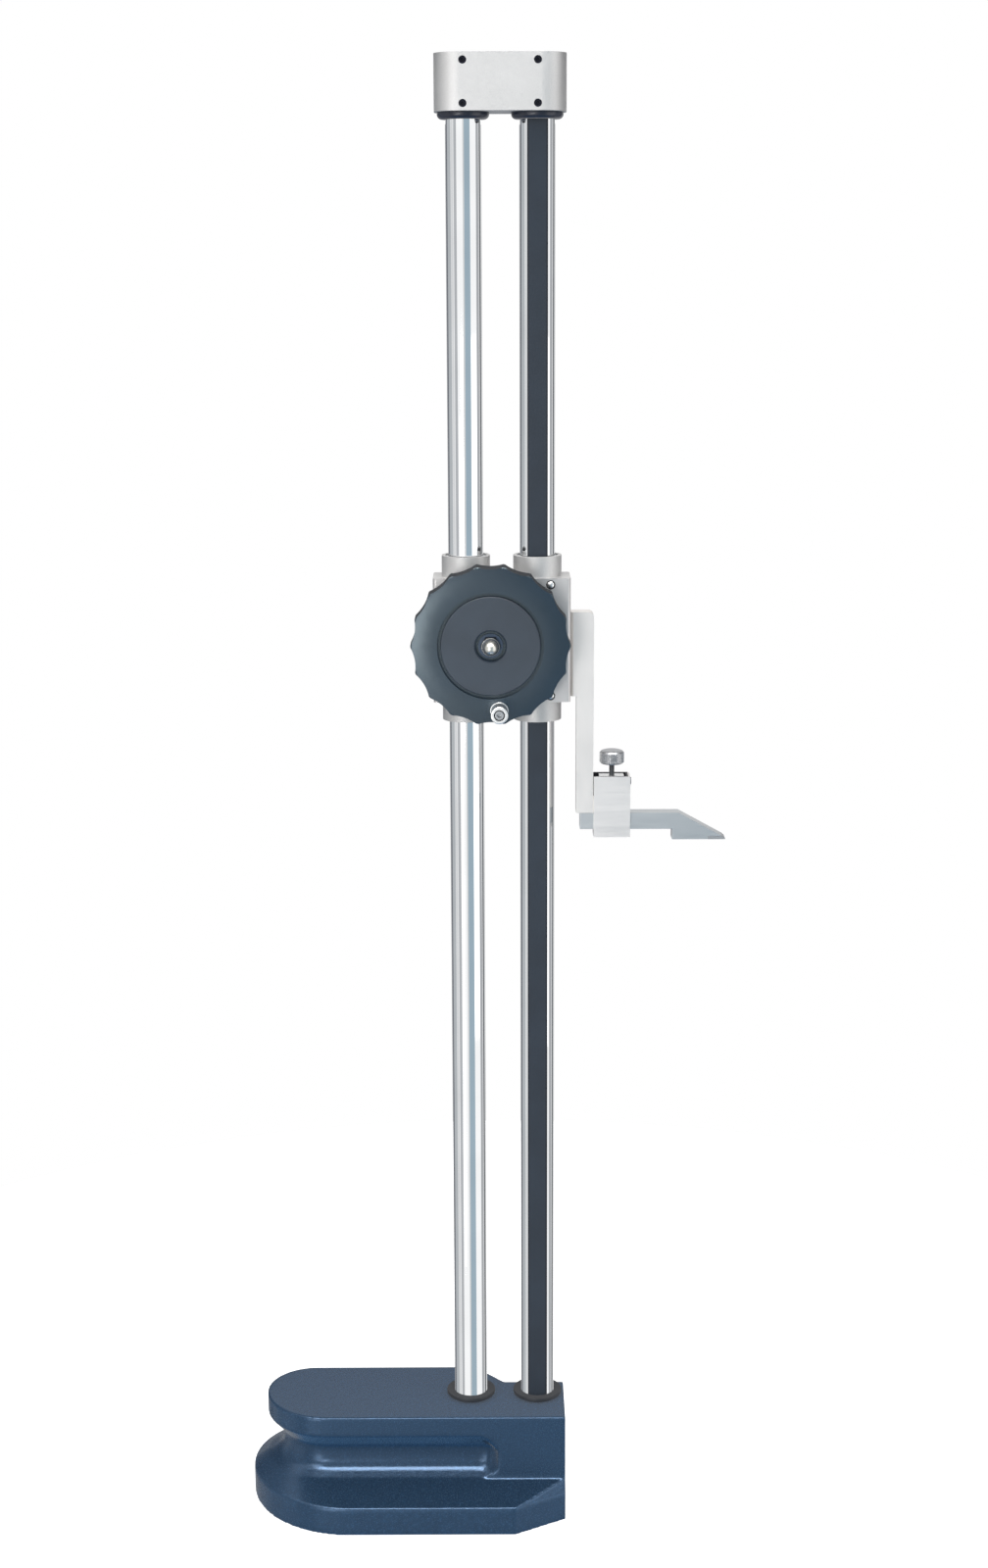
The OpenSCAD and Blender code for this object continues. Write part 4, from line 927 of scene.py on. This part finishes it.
# %% Say which bars a figure lights, and where each bar lies
SEGMENTS = {
    "0": "abcdef", "1": "bc", "2": "abged", "3": "abgcd", "4": "fgbc",
    "5": "afgcd", "6": "afgecd", "7": "abc", "8": "abcdefg", "9": "abcdfg",
}
BAR_PLACES = {
    "a": (0, 1, False), "g": (0, 0, False), "d": (0, -1, False),
    "f": (-0.5, 0.5, True), "b": (0.5, 0.5, True), "e": (-0.5, -0.5, True), "c": (0.5, -0.5, True),
}
BAR_LONG, BAR_THICK, BAR_DEEP = 2.9 * MM, 0.36 * MM, 0.1 * MM


# %% Shape one bar
def bar(x, y, z, upright):
    """One lit bar of a figure, pointed at both ends."""
    bpy.ops.object.select_all(action="DESELECT")
    bpy.ops.mesh.primitive_cylinder_add(
        vertices=6, radius=BAR_THICK, depth=BAR_DEEP, location=(0, 0, 0), rotation=(math.pi / 2, 0, 0))
    piece = apply_place()
    bpy.ops.object.mode_set(mode="EDIT")
    bpy.ops.mesh.select_mode(type="VERT")
    for side in (-1, 1):
        bpy.ops.mesh.select_all(action="DESELECT")
        bpy.ops.object.mode_set(mode="OBJECT")
        for corner in piece.data.vertices:
            corner.select = corner.co.z * side > 0.1 * BAR_THICK
        bpy.ops.object.mode_set(mode="EDIT")
        bpy.ops.transform.translate(value=(0, 0, side * (BAR_LONG / 2 - BAR_THICK * 1.1)))
    close_bench()
    if not upright:
        piece.rotation_euler = (0, math.pi / 2, 0)
    piece.location = (x, y, z)
    return piece


# %% Set the figures
STEP = 5.0 * MM
POINT_ROOM = 0.5 * STEP
POINT_SHAPE = (0.3, 1, 0.22)
reading = "%.2f" % (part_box("scriber_bar")[0].z / MM)
lcd = middle("lcd_module")
lcd_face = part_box("lcd_module")[1].y
bars = []
place_x = lcd.x + (STEP * (len(reading) - 2) + POINT_ROOM) / 2
for figure in reading:
    if figure == ".":
        bars.append(bar(place_x + POINT_ROOM / 2, lcd_face, lcd.z - BAR_LONG, False))
        bars[-1].scale = POINT_SHAPE
        place_x -= POINT_ROOM
        continue
    for letter in SEGMENTS[figure]:
        side, rise, upright = BAR_PLACES[letter]
        bars.append(bar(place_x - side * BAR_LONG, lcd_face, lcd.z + rise * BAR_LONG, upright))
    place_x -= STEP

# %% Lay them on the display
figures = join(bars, "display_figures")
paint(figures, lcd_ink)
pick(figures)
apply_place()
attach(figures, frame["nodes"]["lcd_module"]["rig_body"])
print("reading:", reading, "with", len(bars), "bars")

# %% [markdown]
# ## Floor and world
#
# The picture has no background, so the floor and the world show white to the camera, to mirrors and
# through glass. The floor is a small disc that still takes the soft shadow of the base. It is left
# out of reflections, because the columns would show it as a bright lower half.

# %% Lay the floor
bpy.ops.object.select_all(action="DESELECT")
bpy.ops.mesh.primitive_circle_add(vertices=96, radius=0.6, fill_type="NGON", location=(0, 0, -0.2 * MM))
floor = bpy.context.object
floor.name = "floor"
floor.visible_glossy = False
floor_paint = finish("floor_paint", (0.9, 0.9, 0.9), roughness=0.9)
nodes, links = floor_paint.node_tree.nodes, floor_paint.node_tree.links
glow = nodes.new("ShaderNodeEmission")
glow.inputs["Strength"].default_value = 0.7
both = nodes.new("ShaderNodeAddShader")
links.new(nodes["Principled BSDF"].outputs["BSDF"], both.inputs[0])
links.new(glow.outputs["Emission"], both.inputs[1])
links.new(both.outputs["Shader"], nodes["Material Output"].inputs["Surface"])
floor.data.materials.append(floor_paint)
print("floor:", floor.dimensions.x, "m wide")

# %% Set the world
world = bpy.data.worlds.new("studio")
bpy.context.scene.world = world
world.use_nodes = True
nodes, links = world.node_tree.nodes, world.node_tree.links
soft_light = nodes["Background"]
white = nodes.new("ShaderNodeBackground")
for background, strength in ((soft_light, 0.95), (white, 1.0)):
    background.inputs["Color"].default_value = (1, 1, 1, 1)
    background.inputs["Strength"].default_value = strength

# %% Show white to the camera, to mirrors and through glass
path = nodes.new("ShaderNodeLightPath")
seen = path.outputs["Is Camera Ray"]
for kind in ("Is Glossy Ray", "Is Transmission Ray"):
    either = nodes.new("ShaderNodeMath")
    either.operation = "MAXIMUM"
    links.new(seen, either.inputs[0])
    links.new(path.outputs[kind], either.inputs[1])
    seen = either.outputs[0]
mix = nodes.new("ShaderNodeMixShader")
links.new(seen, mix.inputs["Fac"])
links.new(soft_light.outputs["Background"], mix.inputs[1])
links.new(white.outputs["Background"], mix.inputs[2])
links.new(mix.outputs["Shader"], nodes["World Output"].inputs["Surface"])
print("world:", len(nodes), "nodes")

# %% [markdown]
# ## Cards round the gauge
#
# White all round would leave chrome without form. A product studio stands grey and dark cards round
# the table, out of the picture, and the columns show them as upright streaks. Each card is a strip
# of a ring about the gauge, between two compass angles: 0 is towards the camera and 90 is +X. The
# cards are seen only in reflections, and the gaps between them show the white world.

# %% Give a card its paper
def card_paper(piece, colour, strength=1.0):
    """Lets a card shine in one colour, in reflections only."""
    paper = finish(piece.name, (0, 0, 0))
    tune(paper, Specular_IOR_Level=0, Emission_Color=(*colour, 1), Emission_Strength=strength)
    piece.data.materials.append(paper)
    piece.visible_camera = False
    piece.visible_diffuse = False
    piece.visible_shadow = False
    piece.visible_transmission = False
    return piece


# %% Bend a card round the gauge
CARD_RING = 1.7
CARD_LOW, CARD_HIGH = -0.86, 1.7
CARD_STEP = 4


def card(name, start, end, colour, strength=1.0, low=CARD_LOW, high=CARD_HIGH):
    """A strip of the ring from one angle to another."""
    steps = max(2, round((end - start) / CARD_STEP))
    angles = [math.radians(start + (end - start) * i / steps) for i in range(steps + 1)]
    lower = [(CARD_RING * math.sin(a), -CARD_RING * math.cos(a), low) for a in angles]
    upper = [(x, y, high) for x, y, z in lower]
    faces = [(i, i + 1, i + steps + 2, i + steps + 1) for i in range(steps)]
    mesh = bpy.data.meshes.new(name)
    mesh.from_pydata(lower + upper, [], faces)
    strip = bpy.data.objects.new(name, mesh)
    bpy.context.scene.collection.objects.link(strip)
    return card_paper(strip, colour, strength)


# %% [markdown]
# The two bright cards in front on the left light the satin parts and the rim of the wheel. The grey
# ones beside them draw the streaks, and a blue one gives the cool streak right of the middle. Cards
# that reach less high leave the cap in the white. The apron closes the ring below the table.

# %% Stand the cards
WHITE = (1, 1, 1)
EDGE_CARD_TOP = 0.85
cards = {
    "card_key": (-24, -12, WHITE, 6.0, 0.1, 0.6),
    "card_fill": (-37, -24, WHITE, 3.2, -0.6, 0.5),
    "card_front": (-5, 4, srgb(214, 216, 217)),
    "card_blue": (4, 42, srgb(160, 179, 191)),
    "card_near_right": (43, 84, WHITE, 1.5, -0.3, 0.6),
    "card_upper_right": (35, 125, srgb(88, 89, 91), 1.0, 0.88, 2.0),
    "card_right": (88, 112, srgb(172, 174, 177), 1.0, CARD_LOW, 0.88),
    "card_dark_right": (118, 142, srgb(110, 113, 116)),
    "card_edge_right": (150, 180, srgb(196, 196, 197), 1.0, CARD_LOW, EDGE_CARD_TOP),
    "card_left": (-66, -46, srgb(182, 184, 187)),
    "card_near_left": (-88, -70, srgb(218, 219, 220)),
    "card_far_left": (-126, -90, srgb(182, 186, 189)),
    "card_dark_left": (-148, -126, srgb(112, 115, 121)),
    "card_edge_left": (-180, -150, srgb(150, 152, 156), 1.0, CARD_LOW, EDGE_CARD_TOP),
    "card_apron": (-180, 180, srgb(168, 170, 172), 1.0, -1.9, CARD_LOW),
}
for name, values in cards.items():
    card(name, *values)
print("cards:", len(cards))

# %% [markdown]
# A dark hood hangs over the table, with one long lamp in it, a weaker glow behind the lamp and a soft
# patch on the left. Level surfaces and slopes that look up at the hood stay deep, and every rounded
# edge picks the lamp up as a thin bright line. A small flag shades the cap from the long lamp, and a
# roof close above the cap keeps the high lamp off its top. A blue card lies deep under the table,
# for the undersides of the base.

# %% Lay a level card
def overhead(name, height, y_start, y_end, width, colour, strength=1.0, x=0.0):
    """A level card at some height, between two places in Y."""
    bpy.ops.object.select_all(action="DESELECT")
    bpy.ops.mesh.primitive_plane_add(size=1, location=(x, (y_start + y_end) / 2, height))
    piece = bpy.context.object
    piece.name = name
    bpy.ops.transform.resize(value=(width, y_end - y_start, 1))
    return card_paper(piece, colour, strength)


# %% Hang the hood and its long lamp
ROOF_GAP = 12 * MM
cap_low, cap_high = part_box("top_cap")
level_cards = {
    "hood": (2.3, -1.9, 1.7, 5.0, (0.09, 0.1, 0.11)),
    "hood_lamp": (2.2, -1.15, -0.3, 1.8, WHITE, 14.0),
    "hood_left": (2.19, -0.9, 1.0, 0.9, WHITE, 1.5, -1.5),
    "hood_glow": (2.21, -0.3, 0.35, 1.8, WHITE, 1.2),
    "cap_flag": (0.9, -0.12, 0.14, 0.4, (0.25, 0.25, 0.25)),
    "cap_roof": (cap_high.z + ROOF_GAP, cap_low.y, 0.09, 0.4, (0.3, 0.3, 0.3)),
    "under_card": (-1.9, -1.8, 1.8, 3.6, (0.13, 0.27, 0.46)),
}
for name, values in level_cards.items():
    overhead(name, *values)
roof = bpy.data.objects["cap_roof"]
roof.visible_shadow = True
roof.visible_glossy = False
print("level cards:", len(level_cards))

# %% [markdown]
# ## Lamps
#
# Two large soft lamps shape the gauge without burning it out: one high in front on the left, one
# from the right.

# %% Hang the lamps
def lamp(name, location, target, size, power):
    """A square soft lamp that looks at a target."""
    bpy.ops.object.light_add(type="AREA", location=location)
    light = bpy.context.object
    light.name = name
    light.data.size = size
    light.data.energy = power
    direction = Vector(target) - Vector(location)
    light.rotation_euler = direction.to_track_quat("-Z", "Y").to_euler()
    return light


lamp("high_left", (-1.1, -1.2, 1.9), (0, 0, 0.35), 0.8, 9)
lamp("right_side", (1.4, -0.7, 1.2), (0, 0, 0.4), 0.7, 4)
print("lamps:", len(bpy.data.lights))

# %% [markdown]
# ## The view transform
#
# The render shows its colours with the Standard view transform. The finished gauge has to stay
# inside the frame's box.

# %% Set the view transform
bpy.context.scene.view_settings.view_transform = "Standard"
